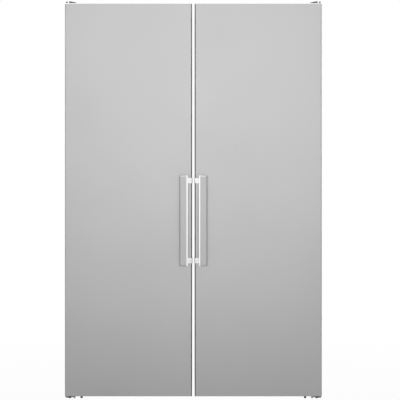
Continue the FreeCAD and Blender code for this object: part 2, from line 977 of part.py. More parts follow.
def door_skin():
    """The folded steel front of a door, with its two sides."""
    lift = (0, 0, door_height)
    plane = in_plan(door_bottom)
    whole = prism(door_plan(0, door_sheet_back), plane, lift)
    return whole.cut(prism(door_plan(door_skin_sheet, door_sheet_back), plane, lift))


def door_cap(low, bore_start, bore_end):
    """A plastic cap that closes an end of the door, bored for a hinge pin."""
    cap = prism(door_plan(door_skin_sheet, door_sheet_back), in_plan(low), (0, 0, door_cap_height))
    mouth = (hinge_inset_x, hinge_y, bore_start)
    return cap.cut(rod(hinge_pin_radius + running_clearance, mouth, (0, 0, bore_end - bore_start)))


def door_caps():
    """The lower and the upper cap of a door."""
    depth = hinge_pin_depth + seat_clearance
    return [
        door_cap(door_bottom, door_bottom - 1, door_bottom + depth),
        door_cap(door_top - door_cap_height, door_top - depth, door_top + 1),
    ]


def liner_forms(unit, wall):
    """What stands out of the back of a door: its raised panel and, on the fridge, two upright ribs."""
    inset = unit.panel_inset + wall
    low, high = unit.floor + door_panel_gap + wall, unit.ceiling - door_panel_gap - wall
    start = door_sheet_back if wall else door_back - door_liner_sheet / 2
    end = door_back + door_panel_depth - wall
    radius = door_panel_radius - wall
    panel = prism(
        rectangle(inset, low, unit_width - inset, high, radius), in_front(start), (0, end - start, 0)
    )
    if not unit.mirrored:
        return panel
    rib_low = unit.floor + 4 * door_panel_gap + wall
    rib_high = unit.ceiling - 5 * door_panel_gap - wall
    crest = end + dike_depth
    turn = dike_radius - wall
    side = [(start, rib_low), (crest, rib_low, turn), (crest, rib_high, turn), (start, rib_high)]
    rib = prism(side, in_side(inset), (dike_width - 2 * wall, 0, 0))
    return joined([panel] + both_sides(rib))


def rack_lugs():
    """The lugs on the two ribs that the racks sit on."""
    inset = fridge.panel_inset + dike_width
    start = door_back + door_panel_depth - door_liner_sheet / 2
    lugs = []
    for level in rack_levels:
        corners = [
            (inset - door_liner_sheet / 2, level),
            (inset + rack_lug, level),
            (inset - door_liner_sheet / 2, level - rack_lug),
        ]
        lugs += both_sides(prism(corners, in_front(start), (0, dike_depth / 2, 0)))
    return lugs


def door_liner(unit):
    """The formed inner sheet of a door."""
    sheet = block((0, door_sheet_back, door_bottom), (unit_width, door_back, door_top))
    formed = joined([sheet, liner_forms(unit, 0)]).cut(liner_forms(unit, door_liner_sheet))
    return joined([formed] + rack_lugs()) if unit.mirrored else formed


def door_foam(unit):
    """The foam that fills a door between its skin, its caps and its liner."""
    core = prism(
        door_plan(door_skin_sheet, door_sheet_back),
        in_plan(door_bottom + door_cap_height),
        (0, 0, door_height - 2 * door_cap_height),
    )
    return joined([core, liner_forms(unit, door_liner_sheet)])


def gasket_ring(inset, width, start, depth):
    """A frame of constant width round the door, from a depth backwards."""
    foot = gasket_foot_inset - gasket_inset
    rings = []
    for edge in (inset, inset + width):
        low, high = door_bottom + edge + foot, door_top - edge
        corners = rectangle(edge, low, unit_width - edge, high, gasket_bulb_width / 2)
        rings.append(prism(corners, in_front(start), (0, depth, 0)))
    return rings[0].cut(rings[1])


def door_gasket():
    """The magnetic gasket: a base strip on the door, and the bulb that meets the cabinet."""
    bulb_inset = gasket_inset + (gasket_base_width - gasket_bulb_width) / 2
    bulb_depth = gasket_gap - gasket_clearance
    return joined(
        [
            gasket_ring(gasket_inset, gasket_base_width, door_back, gasket_base_thickness),
            gasket_ring(bulb_inset, gasket_bulb_width, door_back, bulb_depth),
        ]
    )


# Handles


def handle_bar():
    """The flat bar of a handle, with rounded edges and chamfered ends."""
    inner = unit_width - handle_edge_gap - handle_rail_width
    outer = inner - handle_bar_width
    back = handle_front + handle_bar_thickness
    corners = [
        (outer, handle_front, handle_bar_thickness / 3),
        (inner, handle_front, handle_bar_thickness / 8),
        (inner, back),
        (outer, back, handle_bar_thickness / 4),
    ]
    bar = prism(corners, in_plan(handle_base), (0, 0, handle_length))
    chamfer = handle_bar_thickness / 4
    for end, way in ((handle_base, 1), (handle_base + handle_length, -1)):
        wedge = [
            (handle_front, end),
            (handle_front + chamfer, end),
            (handle_front, end + way * chamfer),
        ]
        bar = bar.cut(prism(wedge, in_side(outer), (handle_bar_width, 0, 0)))
    return bar


def handle_frame():
    """The bright rail beside the bar, and the two bent straps that hold it to the side of the door."""
    outer = unit_width - handle_edge_gap
    inner = outer - handle_rail_width
    bar_back = handle_front + handle_bar_thickness
    rail = [
        (inner, handle_front + handle_rail_setback),
        (outer, handle_front + handle_rail_setback, handle_rail_setback),
        (outer, bar_back + handle_strap),
        (inner, bar_back + handle_strap),
    ]
    pieces = [prism(rail, in_plan(handle_base), (0, 0, handle_length))]
    strap_back = bar_back + handle_strap
    lap = inner - handle_strap_lap
    leg_end = door_front + handle_strap_leg
    side = unit_width + handle_strap
    strap = [
        (lap, bar_back),
        (side, bar_back, handle_strap_bend),
        (side, leg_end),
        (unit_width, leg_end),
        (unit_width, strap_back, handle_strap_bend - handle_strap),
        (lap, strap_back),
    ]
    for low in handle_strap_levels():
        pieces.append(prism(strap, in_plan(low), (0, 0, handle_strap_height)))
    return joined(pieces)


def handle_strap_levels():
    """The lower edge of each strap."""
    top = handle_base + handle_length
    return [handle_base + handle_strap_inset, top - handle_strap_inset - handle_strap_height]


# Hinges


def upper_hinge():
    """The plate on top of a cabinet that reaches over the door, with its pin."""
    back = cabinet_front + hinge_plate_reach
    nose_side = hinge_inset_x - hinge_pin_radius - lower_hinge_inset
    corners = [
        (nose_side, hinge_y - hinge_nose, hinge_pin_radius),
        (hinge_cover_inset + hinge_cover_width, hinge_y - hinge_nose, hinge_cover_wall),
        (nose_side + hinge_plate_width, cabinet_front, hinge_nose),
        (nose_side + hinge_plate_width, back, hinge_nose),
        (nose_side, back, hinge_pin_radius),
    ]
    plate = prism(corners, in_plan(cabinet_top), (0, 0, hinge_plate))
    foot = door_top - hinge_pin_depth
    plate_top = cabinet_top + hinge_plate
    pin = rod(hinge_pin_radius, (hinge_inset_x, hinge_y, foot), (0, 0, plate_top - foot))
    head = rod(hinge_pin_head_radius, (hinge_inset_x, hinge_y, plate_top), (0, 0, hinge_pin_head))
    hinge = joined([plate, pin, head])
    for x, y in upper_screw_places():
        hole = rod(screw_radius + running_clearance, (x, y, cabinet_top - 1), (0, 0, hinge_plate + 2))
        hinge = hinge.cut(hole)
    return hinge


def upper_screw_places():
    """Where the screws of an upper hinge stand, under its cover."""
    x = hinge_cover_inset + hinge_cover_width / 2
    first = cabinet_front + hinge_plate_reach / 4
    return [(x, first + n * hinge_plate_reach / 4) for n in range(3)]


def hinge_cover():
    """The hollow cover over an upper hinge, which slopes down towards the free side."""
    left, right = hinge_cover_inset, hinge_cover_inset + hinge_cover_width
    low = cabinet_top + hinge_plate
    high = low + hinge_cover_height
    shoulder = left + hinge_cover_width / 4
    slope_end = low + hinge_cover_tail
    corners = [
        (left, low),
        (left, high, hinge_cover_wall),
        (shoulder, high, hinge_cover_wall),
        (right, slope_end, hinge_cover_wall),
        (right, low),
    ]
    wall = hinge_cover_wall
    hollow = [
        (left + wall, low),
        (left + wall, high - wall),
        (shoulder, high - wall),
        (right - wall, slope_end - wall / 2),
        (right - wall, low),
    ]
    front = hinge_y - hinge_nose
    length = cabinet_front + hinge_plate_reach - front
    cover = prism(corners, in_front(front), (0, length, 0))
    return cover.cut(prism(hollow, in_front(front + wall), (0, length - 2 * wall, 0)))


def lower_hinge():
    """The bent bracket under a cabinet that reaches under the door, with its pin, washer and two lips."""
    shelf_top = door_bottom - lower_hinge_gap
    shelf = shelf_top - lower_hinge_plate
    under = cabinet_bottom - lower_hinge_plate
    bend = lower_hinge_plate + lower_hinge_gap
    back = cabinet_front + lower_hinge_reach
    front = hinge_y - hinge_nose
    profile = [
        (front, shelf),
        (cabinet_front - bend, shelf),
        (cabinet_front + bend, under),
        (back, under),
        (back, cabinet_bottom),
        (cabinet_front + bend / 2, cabinet_bottom),
        (cabinet_front - bend - lower_hinge_plate / 2, shelf_top),
        (front, shelf_top),
    ]
    far = lower_hinge_inset + lower_hinge_width
    plate = prism(profile, in_side(lower_hinge_inset), (lower_hinge_width, 0, 0))
    pieces = [plate]
    for x in (lower_hinge_stop, far - lower_hinge_plate):
        pieces.append(
            block((x, front, shelf - lower_hinge_lip), (x + lower_hinge_plate, cabinet_front - bend, shelf))
        )
    pin_top = door_bottom + hinge_pin_depth
    centre = (hinge_inset_x, hinge_y)
    pieces.append(rod(hinge_pin_radius, (*centre, shelf), (0, 0, pin_top - shelf)))
    washer = lower_hinge_gap - seat_clearance
    pieces.append(rod(thrust_washer_radius, (*centre, shelf_top), (0, 0, washer)))
    hinge = joined(pieces)
    for x, y in lower_screw_places():
        hole = rod(screw_radius + running_clearance, (x, y, under - 1), (0, 0, lower_hinge_plate + 2))
        hinge = hinge.cut(hole)
    return hinge


def lower_screw_places():
    """Where the screws of a lower hinge stand, under the cabinet."""
    x = lower_hinge_inset + lower_hinge_width / 4
    y = cabinet_front + lower_hinge_reach * 0.45
    step = lower_hinge_reach / 3
    return [(x, y), (x + lower_hinge_width / 2, y), (x + lower_hinge_width / 4, y + step)]


# Feet and rollers


def levelling_foot(x, y):
    """A foot: a chamfered pad with its stud, which turns in the nut of the tray."""
    pad = Part.makeCone(foot_radius - 1, foot_radius, foot_pad / 4, Vector(x, y, 0))
    upper = rod(foot_radius, (x, y, foot_pad / 4), (0, 0, foot_pad * 3 / 4))
    stud_end = tray_floor + foot_nut_height
    stud = rod(foot_stud_radius, (x, y, foot_pad / 2), (0, 0, stud_end - foot_pad / 2))
    return joined([pad, upper, stud])


def rear_roller(x, y, z):
    """A roller with its axle, which turns in the two ears of the tray."""
    half = roller_width / 2
    wheel = rod(roller_radius, (x - half, y, z), (roller_width, 0, 0))
    groove = rod(roller_radius + 1, (x - half / 4, y, z), (half / 2, 0, 0))
    core = rod(roller_radius - 1.5, (x - half, y, z), (roller_width, 0, 0))
    reach = half + roller_side_gap + roller_ear
    axle = rod(roller_axle_radius, (x - reach, y, z), (2 * reach, 0, 0))
    return joined([wheel.cut(groove), core, axle])


# Cooling machine


def compressor_centre():
    """The middle of the compressor on the tray."""
    x = condenser_start() - compressor_gap - compressor_plate_length / 2
    return x, (machine_front + cabinet_back) / 2


def mount_places():
    """Where the four rubber mounts of a compressor stand."""
    x, y = compressor_centre()
    dx = compressor_plate_length / 2 - mount_inset
    dy = compressor_plate_width / 2 - mount_inset
    return [(x + i * dx, y + j * dy) for i in (-1, 1) for j in (-1, 1)]


def compressor_base():
    """The height of a compressor's base plate."""
    return tray_floor + mount_height


def compressor_top():
    """The height of the flat seat on top of a compressor."""
    return compressor_base() + compressor_plate + compressor_height


def pipe_level():
    """The height at which the pipes leave a compressor."""
    return compressor_base() + compressor_plate + compressor_height * 0.4


def condenser_start():
    """Where the condenser's passes begin, across the unit."""
    return unit_width - condenser_gap_x - condenser_length


def condenser_plane():
    """The depth at which the condenser's tube lies."""
    return cabinet_back - condenser_gap_y


def compressor():
    """The welded steel shell, its base plate, terminal box, discharge stub and suction pipe."""
    x, y = compressor_centre()
    low = compressor_base() + compressor_plate
    high = compressor_top()
    seam = low + compressor_height * 0.55
    dome = compressor_radius * 0.5
    half = [
        (0, low),
        (compressor_seat_radius * 2, low),
        (compressor_radius, low + dome, dome * 0.8),
        (compressor_radius, seam - compressor_seam),
        (compressor_radius + compressor_seam, seam - compressor_seam),
        (compressor_radius + compressor_seam, seam + compressor_seam),
        (compressor_radius, seam + compressor_seam),
        (compressor_radius, high - dome, dome * 0.8),
        (compressor_seat_radius, high),
        (0, high),
    ]
    shell = Part.Face(outline(half, in_front(0))).revolve(Vector(0, 0, 0), Vector(0, 0, 1), 360)
    shell = shell.translated(Vector(x, y, 0))
    plate_corners = rectangle(
        x - compressor_plate_length / 2,
        y - compressor_plate_width / 2,
        x + compressor_plate_length / 2,
        y + compressor_plate_width / 2,
        mount_inset,
    )
    plate = prism(plate_corners, in_plan(compressor_base()), (0, 0, compressor_plate))
    box_side = x - compressor_radius - terminal_box_depth
    box_low = low + compressor_height / 5
    box = prism(
        rectangle(
            y - terminal_box_width / 2,
            box_low,
            y + terminal_box_width / 2,
            box_low + terminal_box_height,
            terminal_box_depth / 5,
        ),
        in_side(box_side),
        (terminal_box_depth + compressor_radius / 3, 0, 0),
    )
    discharge = rod(pipe_radius, (x, condenser_plane(), pipe_level()), (compressor_radius + pipe_stub, 0, 0))
    riser = x + max(compressor_radius + pipe_stub, drip_tray_length / 2) + pipe_bend
    suction_y = y - suction_offset
    suction = bent_tube(
        [(x, suction_y, pipe_level()), (riser, suction_y, pipe_level()), (riser, suction_y, machine_top)],
        pipe_radius,
        pipe_bend,
    )
    body = joined([shell, plate, box, discharge, suction])
    for mx, my in mount_places():
        hole = rod(mount_neck_radius, (mx, my, compressor_base() - 1), (0, 0, compressor_plate + 2))
        body = body.cut(hole)
    return body


def compressor_mount(x, y):
    """A rubber mount on the tray: a broad foot with a neck through the base plate and a head over it."""
    neck_top = compressor_base() + compressor_plate
    foot = rod(mount_radius, (x, y, tray_floor), (0, 0, mount_height))
    neck = rod(mount_neck_radius, (x, y, tray_floor), (0, 0, neck_top - tray_floor + mount_height / 4))
    return joined([foot, neck])


def drip_tray():
    """The open tray on top of a compressor, where melt water dries off."""
    x, y = compressor_centre()
    low = compressor_top()
    layers = []
    for wall in (0.0, drip_tray_wall):
        half_length = drip_tray_length / 2 - wall
        half_width = drip_tray_width / 2 - wall
        corners = rectangle(
            x - half_length, y - half_width, x + half_length, y + half_width, drip_tray_radius - wall
        )
        layers.append(prism(corners, in_plan(low + wall), (0, 0, drip_tray_height)))
    return layers[0].cut(layers[1])


def condenser():
    """A tube from the compressor, bent to and fro on two straps, and on through the drier to the foam."""
    x0 = condenser_start()
    x1 = x0 + condenser_length
    y = condenser_plane()
    bend = condenser_pitch / 2
    first = tray_floor + tray_rear_flange
    passes = 2 * condenser_loops
    last = first + (passes - 1) * condenser_pitch
    stub_end = compressor_centre()[0] + compressor_radius + pipe_stub
    riser = (stub_end + x0) / 2
    route = [(stub_end, y, pipe_level()), (riser, y, pipe_level()), (riser, y, last)]
    for n in range(passes - 1):
        turn = x1 + bend if n % 2 == 0 else x0 - bend
        z = last - n * condenser_pitch
        route += [(turn, y, z), (turn, y, z - condenser_pitch)]
    outlet = x0 - 2 * bend
    route += [(outlet, y, first), (outlet, machine_front, first)]
    pieces = [bent_tube(route, condenser_tube_radius, bend), drier(outlet, (y + machine_front) / 2, first)]
    height = last - tray_floor + condenser_strap
    for share in (0.2, 0.8):
        left = x0 + condenser_length * share - condenser_strap_width / 2
        right = left + condenser_strap_width
        pieces.append(block((left, y, tray_floor), (right, y + condenser_strap, tray_floor + height)))
    return joined(pieces)


def drier(x, y, z):
    """The filter drier round the condenser's outlet: a short fat tube with tapered ends."""
    half = drier_length / 2
    profile = [
        (y - half, z),
        (y - half, z + condenser_tube_radius),
        (y - half + drier_taper, z + drier_radius),
        (y + half - drier_taper, z + drier_radius),
        (y + half, z + condenser_tube_radius),
        (y + half, z),
    ]
    return Part.Face(outline(profile, in_side(x))).revolve(Vector(x, y, z), Vector(0, 1, 0), 360)


# Screws, made in place


def screw(x, y, z, plate, way):
    """A screw through a plate that lies on a face at z, with its head on the side that way points to."""
    shank = rod(screw_radius, (x, y, z), (0, 0, way * plate))
    head = rod(screw_head_radius, (x, y, z + way * plate), (0, 0, way * screw_head_height))
    return joined([shank, head])


def cabinet_screws():
    """Every screw that holds a hinge to its cabinet."""
    found = []
    for unit in units:
        for x, y in upper_screw_places():
            found.append(unit.place(screw(x, y, cabinet_top, hinge_plate, 1)))
        for x, y in lower_screw_places():
            found.append(unit.place(screw(x, y, cabinet_bottom, lower_hinge_plate, -1)))
    return found


# The whole set of pieces


def unit_pieces(unit):
    """The pieces of one unit that have a node of their own, in the unit's frame."""
    levels = fridge_levels if unit.mirrored else freezer_levels
    ledge_setback = fridge_shelf_setback if unit.mirrored else freezer_drawer_setback
    ledge_start = cabinet_front + ledge_setback + trim_depth
    feet = foot_places()
    return {
        "outer_shell": outer_shell(),
        "back_panel": back_panel(),
        "inner_liner": inner_liner(unit, levels, ledge_start),
        "foam": cabinet_foam(unit),
        "base_tray": base_tray(),
        "air_duct": air_duct(unit, levels + [unit.ceiling - duct_head_gap]),
        "fan": fan_rotor(unit),
        "button": push_button(unit),
        "foot_outer": levelling_foot(*feet[0]),
        "foot_inner": levelling_foot(*feet[1]),
        "rear_rollers": Part.makeCompound([rear_roller(*place) for place in roller_places()]),
        "door_skin": door_skin(),
        "door_foam": door_foam(unit),
        "door_liner": door_liner(unit),
        "door_gasket": door_gasket(),
        "door_caps": Part.makeCompound(door_caps()),
        "handle_bar": handle_bar(),
        "handle_frame": handle_frame(),
    }


def paired_pieces():
    """Pieces that both units have alike, one node for each kind."""
    makers = {
        "compressors": lambda unit: [compressor()],
        "compressor_mounts": lambda unit: [compressor_mount(*place) for place in mount_places()],
        "condensers": lambda unit: [condenser()],
        "drip_trays": lambda unit: [drip_tray()],
        "evaporators": lambda unit: [evaporator(unit)],
        "fan_motors": lambda unit: [fan_motor(unit)],
        "control_panels": lambda unit: [control_panel(unit)],
        "interior_lights": lambda unit: [ceiling_light(unit)],
        "upper_hinges": lambda unit: [upper_hinge()],
        "lower_hinges": lambda unit: [lower_hinge()],
        "hinge_covers": lambda unit: [hinge_cover()],
    }
    return {name: [unit.place(s) for unit in units for s in maker(unit)] for name, maker in makers.items()}


def shelf_pieces():
    """The glass shelves of both units and the front trims of the fridge's."""
    freezer_front = cabinet_front + freezer_drawer_setback + trim_depth
    fridge_front = cabinet_front + fridge_shelf_setback + trim_wall
    return {
        "freezer_shelves": [freezer.place(glass_shelf(freezer, z, freezer_front)) for z in freezer_levels],
        "fridge_shelves": [fridge.place(glass_shelf(fridge, z, fridge_front)) for z in fridge_levels],
        "fridge_shelf_trims": [fridge.place(shelf_trim(fridge, z)) for z in fridge_levels],
    }


def moving_stores():
    """The drawers of both units and the racks of the fridge door."""
    found = {}
    for number in range(1, freezer_drawer_count + 1):
        found[f"freezer_drawer_{number}"] = freezer.place(freezer_drawer(number))
    crisper_back = step_front - drawer_back_gap
    found["crisper_drawer"] = fridge.place(fridge_drawer(fridge.floor, crisper_height, crisper_back))
    chiller_base = crisper_cover + glass_thickness + trim_lip
    chiller_back = fridge.duct_front - drawer_back_gap
    found["chiller_drawer"] = fridge.place(fridge_drawer(chiller_base, chiller_height, chiller_back))
    found["door_racks"] = Part.makeCompound([fridge.place(door_rack(level)) for level in rack_levels])
    return found


def all_pieces():
    """Every node of the pair, by name."""
    found = {}
    for unit in units:
        for name, shape in unit_pieces(unit).items():
            found[f"{unit.name}_{name}"] = unit.place(shape)
    for name, solids in {**paired_pieces(), **shelf_pieces()}.items():
        found[name] = Part.makeCompound(solids)
    found["cabinet_screws"] = Part.makeCompound(cabinet_screws())
    found.update(moving_stores())
    return found


def main():
    """Builds every node and writes one STEP file for each."""
    os.makedirs("parts", exist_ok=True)
    for name, shape in all_pieces().items():
        if not shape.isValid():
            print("not valid:", name)
        shape.exportStep(f"parts/{name}.step")


if __name__ == "__main__":
    main()
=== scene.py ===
"""Looks of a fridge and freezer pair: finishes, fittings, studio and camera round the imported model."""

from __future__ import annotations

import json
import logging
import math
from dataclasses import dataclass, replace
from enum import Enum
from functools import cache
from typing import Any, Mapping, Sequence

import bmesh
import bpy
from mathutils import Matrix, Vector

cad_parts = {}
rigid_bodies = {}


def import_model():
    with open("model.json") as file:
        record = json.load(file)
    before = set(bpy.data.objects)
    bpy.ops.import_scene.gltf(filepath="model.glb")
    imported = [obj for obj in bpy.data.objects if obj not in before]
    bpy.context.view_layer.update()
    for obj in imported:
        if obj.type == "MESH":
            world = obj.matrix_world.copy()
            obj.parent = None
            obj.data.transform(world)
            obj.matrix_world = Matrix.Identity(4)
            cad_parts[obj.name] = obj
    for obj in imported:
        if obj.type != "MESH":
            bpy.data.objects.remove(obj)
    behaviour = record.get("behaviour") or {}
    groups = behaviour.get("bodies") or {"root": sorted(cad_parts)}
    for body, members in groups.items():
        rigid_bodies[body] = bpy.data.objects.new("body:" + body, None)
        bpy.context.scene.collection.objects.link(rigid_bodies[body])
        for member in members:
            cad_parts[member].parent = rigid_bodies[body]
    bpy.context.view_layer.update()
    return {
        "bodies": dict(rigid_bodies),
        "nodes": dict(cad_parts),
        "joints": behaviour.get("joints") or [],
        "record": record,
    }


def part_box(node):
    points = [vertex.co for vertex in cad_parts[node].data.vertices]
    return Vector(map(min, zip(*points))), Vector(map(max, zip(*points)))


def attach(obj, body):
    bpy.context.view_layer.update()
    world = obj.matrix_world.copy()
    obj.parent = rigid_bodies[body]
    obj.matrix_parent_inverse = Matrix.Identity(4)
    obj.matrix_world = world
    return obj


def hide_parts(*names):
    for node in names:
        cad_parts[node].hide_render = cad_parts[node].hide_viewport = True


log = logging.getLogger("fridge_freezer")

Colour = tuple[float, float, float]
Point = tuple[float, float, float]
Flat = tuple[float, float]
Sockets = Mapping[Any, Any]

MM = 0.001
FIXED = "cabinets"
FAR = 9.0
EVERYWHERE: Flat = (-FAR, FAR)
NO_STRETCH: Point = (1.0, 1.0, 1.0)
UP: Point = (0.0, 0.0, 1.0)
DOWN: Point = (0.0, 0.0, -1.0)
BACK: Point = (0.0, 1.0, 0.0)
WHITE_LIGHT = (1.0, 1.0, 1.0, 1.0)


class Side(Enum):
    """One of the two units."""

    FREEZER = "freezer"
    FRIDGE = "fridge"

    @property
    def outward(self) -> int:
        """The sign of x on the unit's hinge side."""
        return -1 if self is Side.FREEZER else 1

    @property
    def door(self) -> str:
        """The body of the unit's door."""
        return f"{self.value}_door"

    def node(self, name: str) -> str:
        """The unit's own node of that name."""
        return f"{self.value}_{name}"


class Grain(Enum):
    """The way that brush marks run on a metal sheet, as stretch along x, y and z."""

    UPRIGHT = (1.0, 1.0, 0.006)
    LEVEL = (0.006, 1.0, 1.0)


# Node trees


class Signal:
    """A node's output that takes part in Python expressions."""

    def __init__(self, kit: NodeKit, socket: Any) -> None:
        """Wraps a socket.

        Args:
            socket: The output to wrap.
        """
        self.kit = kit
        self.socket = socket

    def _maths(self, operation: str, *values: Any) -> Signal:
        """Adds a Math node.

        Args:
            operation: The node's operation.
            values: The numbers or signals that it works on.

        Returns:
            The node's output.
        """
        return self.kit.add("ShaderNodeMath", {"operation": operation}, dict(enumerate(values)))

    def __add__(self, other: Any) -> Signal:
        """Sum with a number or signal."""
        return self._maths("ADD", self, other)

    __radd__ = __add__

    def __sub__(self, other: Any) -> Signal:
        """This signal less a number or signal."""
        return self._maths("SUBTRACT", self, other)

    def __rsub__(self, other: Any) -> Signal:
        """A number less this signal."""
        return self._maths("SUBTRACT", other, self)

    def __mul__(self, other: Any) -> Signal:
        """Product with a number or signal."""
        return self._maths("MULTIPLY", self, other)

    __rmul__ = __mul__

    def __or__(self, other: Any) -> Signal:
        """The larger of two signals."""
        return self._maths("MAXIMUM", self, other)

    def __gt__(self, other: Any) -> Signal:
        """1 where this signal is larger, else 0."""
        return self._maths("GREATER_THAN", self, other)

    def __lt__(self, other: Any) -> Signal:
        """1 where this signal is smaller, else 0."""
        return self._maths("LESS_THAN", self, other)

    def __abs__(self) -> Signal:
        """The signal without its sign."""
        return self._maths("ABSOLUTE", self)

    def swing(self, size: float) -> Signal:
        """A signal between 0 and 1 as a change of that size about nothing."""
        return (self - 0.5) * size


class NodeKit:
    """Fills one node tree and wraps what its nodes give."""

    def __init__(self, tree: bpy.types.NodeTree) -> None:
        """Starts with an empty tree.

        Args:
            tree: The tree of a material, a world or a pattern.
        """
        self.tree = tree
        tree.nodes.clear()

    def add(
        self, kind: str, settings: Sockets | None = None, inputs: Sockets | None = None, out: Any = 0
    ) -> Signal:
        """Adds one node.

        Args:
            kind: The node's type.
            settings: Its properties, set first.
            inputs: Values, signals or lists of signals for its input sockets, by name or number.
            out: The name or number of the output to return.

        Returns:
            The chosen output.
        """
        node = self.tree.nodes.new(kind)
        for name, value in (settings or {}).items():
            setattr(node, name, value)
        for name, value in (inputs or {}).items():
            links = value if isinstance(value, list) else [value]
            for link in links:
                if isinstance(link, Signal):
                    self.tree.links.new(link.socket, node.inputs[name])
                else:
                    node.inputs[name].default_value = link
        return Signal(self, node.outputs[out] if node.outputs else None)

    def place(self, stretch: Sequence[float] = NO_STRETCH) -> Signal:
        """Object coordinates, stretched along each axis.

        Args:
            stretch: Factors for x, y and z.

        Returns:
            The vector to feed a texture with.
        """
        here = self.add("ShaderNodeTexCoord", out="Object")
        return self.add("ShaderNodeMapping", inputs={"Vector": here, "Scale": tuple(stretch)})

    def axis(self, name: str) -> Signal:
        """One of the object coordinates, by its letter."""
        here = self.add("ShaderNodeTexCoord", out="Object")
        return self.add("ShaderNodeSeparateXYZ", inputs={"Vector": here}, out=name)

    def noise(self, size: float, stretch: Sequence[float] = NO_STRETCH, detail: float = 2.0) -> Signal:
        """Smooth noise between 0 and 1.

        Args:
            size: About how large a patch is, in metres.
            stretch: Factors for x, y and z.
            detail: How many finer layers it has.

        Returns:
            The noise.
        """
        inputs = {"Vector": self.place(stretch), "Scale": 1.0 / size, "Detail": detail}
        return self.add("ShaderNodeTexNoise", inputs=inputs, out="Fac")

    def crystals(self, size: float) -> Signal:
        """A random value for each cell of a crystal pattern.

        Args:
            size: About how large a cell is, in metres.

        Returns:
            The cell's value.
        """
        inputs = {"Vector": self.place(), "Scale": 1.0 / size}
        cell = self.add("ShaderNodeTexVoronoi", {"feature": "F1"}, inputs, "Color")
        return self.add("ShaderNodeSeparateColor", inputs={"Color": cell}, out="Red")

    def ramp(self, value: Signal, start: float, end: float) -> Signal:
        """A value stretched so that it runs from 0 at the start to 1 at the end.

        Args:
            value: The signal to stretch.
            start: What becomes 0.
            end: What becomes 1.

        Returns:
            The stretched signal, held within 0 and 1.
        """
        return self.add("ShaderNodeMapRange", inputs={"Value": value, "From Min": start, "From Max": end})

    def mix(self, share: Any, low: Colour | Signal, high: Colour | Signal) -> Signal:
        """A colour between two.

        Args:
            share: How far towards the second colour.
            low: The first colour.
            high: The second colour.

        Returns:
            The mixed colour.
        """
        first, second = [c if isinstance(c, Signal) else (*c, 1.0) for c in (low, high)]
        return self.add("ShaderNodeMix", {"data_type": "RGBA"}, {0: share, 6: first, 7: second}, 2)

    def bump(self, height: Signal, depth: float, normal: Signal) -> Signal:
        """A normal that follows a height.

        Args:
            height: Height between 0 and 1.
            depth: What a height of 1 measures, in metres.
            normal: The normal to start from.

        Returns:
            The bent normal.
        """
        inputs = {"Height": height, "Distance": depth, "Strength": 1.0, "Normal": normal}
        return self.add("ShaderNodeBump", inputs=inputs)

    def eased_edge(self, radius: float) -> Signal:
        """A normal that rounds off sharp edges.

        Args:
            radius: The radius to show, in metres.

        Returns:
            The rounded normal.
        """
        return self.add("ShaderNodeBevel", {"samples": 4}, {"Radius": radius})


# Finishes


def shade(colour: Colour, factor: float) -> Colour:
    """A colour made lighter or darker.

    Args:
        colour: The colour to change.
        factor: What each channel is multiplied by.

    Returns:
        The new colour, within 0 and 1.
    """
    red, green, blue = [min(1.0, channel * factor) for channel in colour]
    return red, green, blue


@dataclass(frozen=True)
class Zone:
    """A part of space, the same on both sides of the middle plane, in metres."""

    x: Flat = EVERYWHERE
    y: Flat = EVERYWHERE
    z: Flat = EVERYWHERE

    def mask(self, kit: NodeKit) -> Signal:
        """1 inside the zone, else 0.


        Returns:
            The mask.
        """
        pairs = [(abs(kit.axis("X")), self.x), (kit.axis("Y"), self.y), (kit.axis("Z"), self.z)]
        parts = [(value > low) * (value < high) for value, (low, high) in pairs]
        return parts[0] * parts[1] * parts[2]


@dataclass(frozen=True)
class Patch:
    """Zones of a surface that have a colour of their own, or a painted shade or highlight."""

    zones: tuple[Zone, ...]
    colour: Colour
    metallic: float
    contrast: float = 0.03
    mottle: float = 0.01

    def spread(self, kit: NodeKit, values: dict[str, Any]) -> None:
        """Lays the patch over a finish.

        Args:
            values: What the finish feeds into the shader; colour and metal change.
        """
        here, *others = [zone.mask(kit) for zone in self.zones]
        for mask in others:
            here = here | mask
        low, high = shade(self.colour, 1 - self.contrast), shade(self.colour, 1 + self.contrast)
        # The zone's colour: a tone of its own, or a painted shade or highlight, with faint mottling
        own = kit.mix(kit.noise(self.mottle, detail=3.0), low, high)
        values["Base Color"] = kit.mix(here, values["Base Color"], own)
        if self.metallic != values["Metallic"]:
            values["Metallic"] = here * (self.metallic - values["Metallic"]) + values["Metallic"]


@dataclass(frozen=True)
class Finish:
    """A surface finish that makes one material; its sizes are in metres."""

    name: str
    slot: str
    colour: Colour
    roughness: float = 0.4
    metallic: float = 0.0
    edge: float = 0.0008
    contrast: float = 0.05
    patch: Patch | None = None

    def tones(self, kit: NodeKit, share: Signal) -> Signal:
        """The finish's colour, lighter and darker by its contrast.

        Args:
            share: 0 where it is darkest, 1 where it is lightest.

        Returns:
            The colour.
        """
        return kit.mix(share, shade(self.colour, 1 - self.contrast), shade(self.colour, 1 + self.contrast))

    def sockets(self, kit: NodeKit) -> dict[str, Any]:
        """What the finish feeds into the shader.


        Returns:
            Values or signals by socket name.
        """
        raise NotImplementedError

    @cache
    def material(self) -> bpy.types.Material:
        """The finish's material, made once.

        Returns:
            The material.
        """
        made = bpy.data.materials.new(self.name)
        made.use_nodes = True
        kit = NodeKit(made.node_tree)
        values: dict[str, Any] = {"Roughness": self.roughness, "Metallic": self.metallic}
        values.update(self.sockets(kit))
        if self.patch:
            self.patch.spread(kit, values)
        shader = kit.add("ShaderNodeBsdfPrincipled", inputs=values)
        kit.add("ShaderNodeOutputMaterial", inputs={"Surface": shader})
        return made


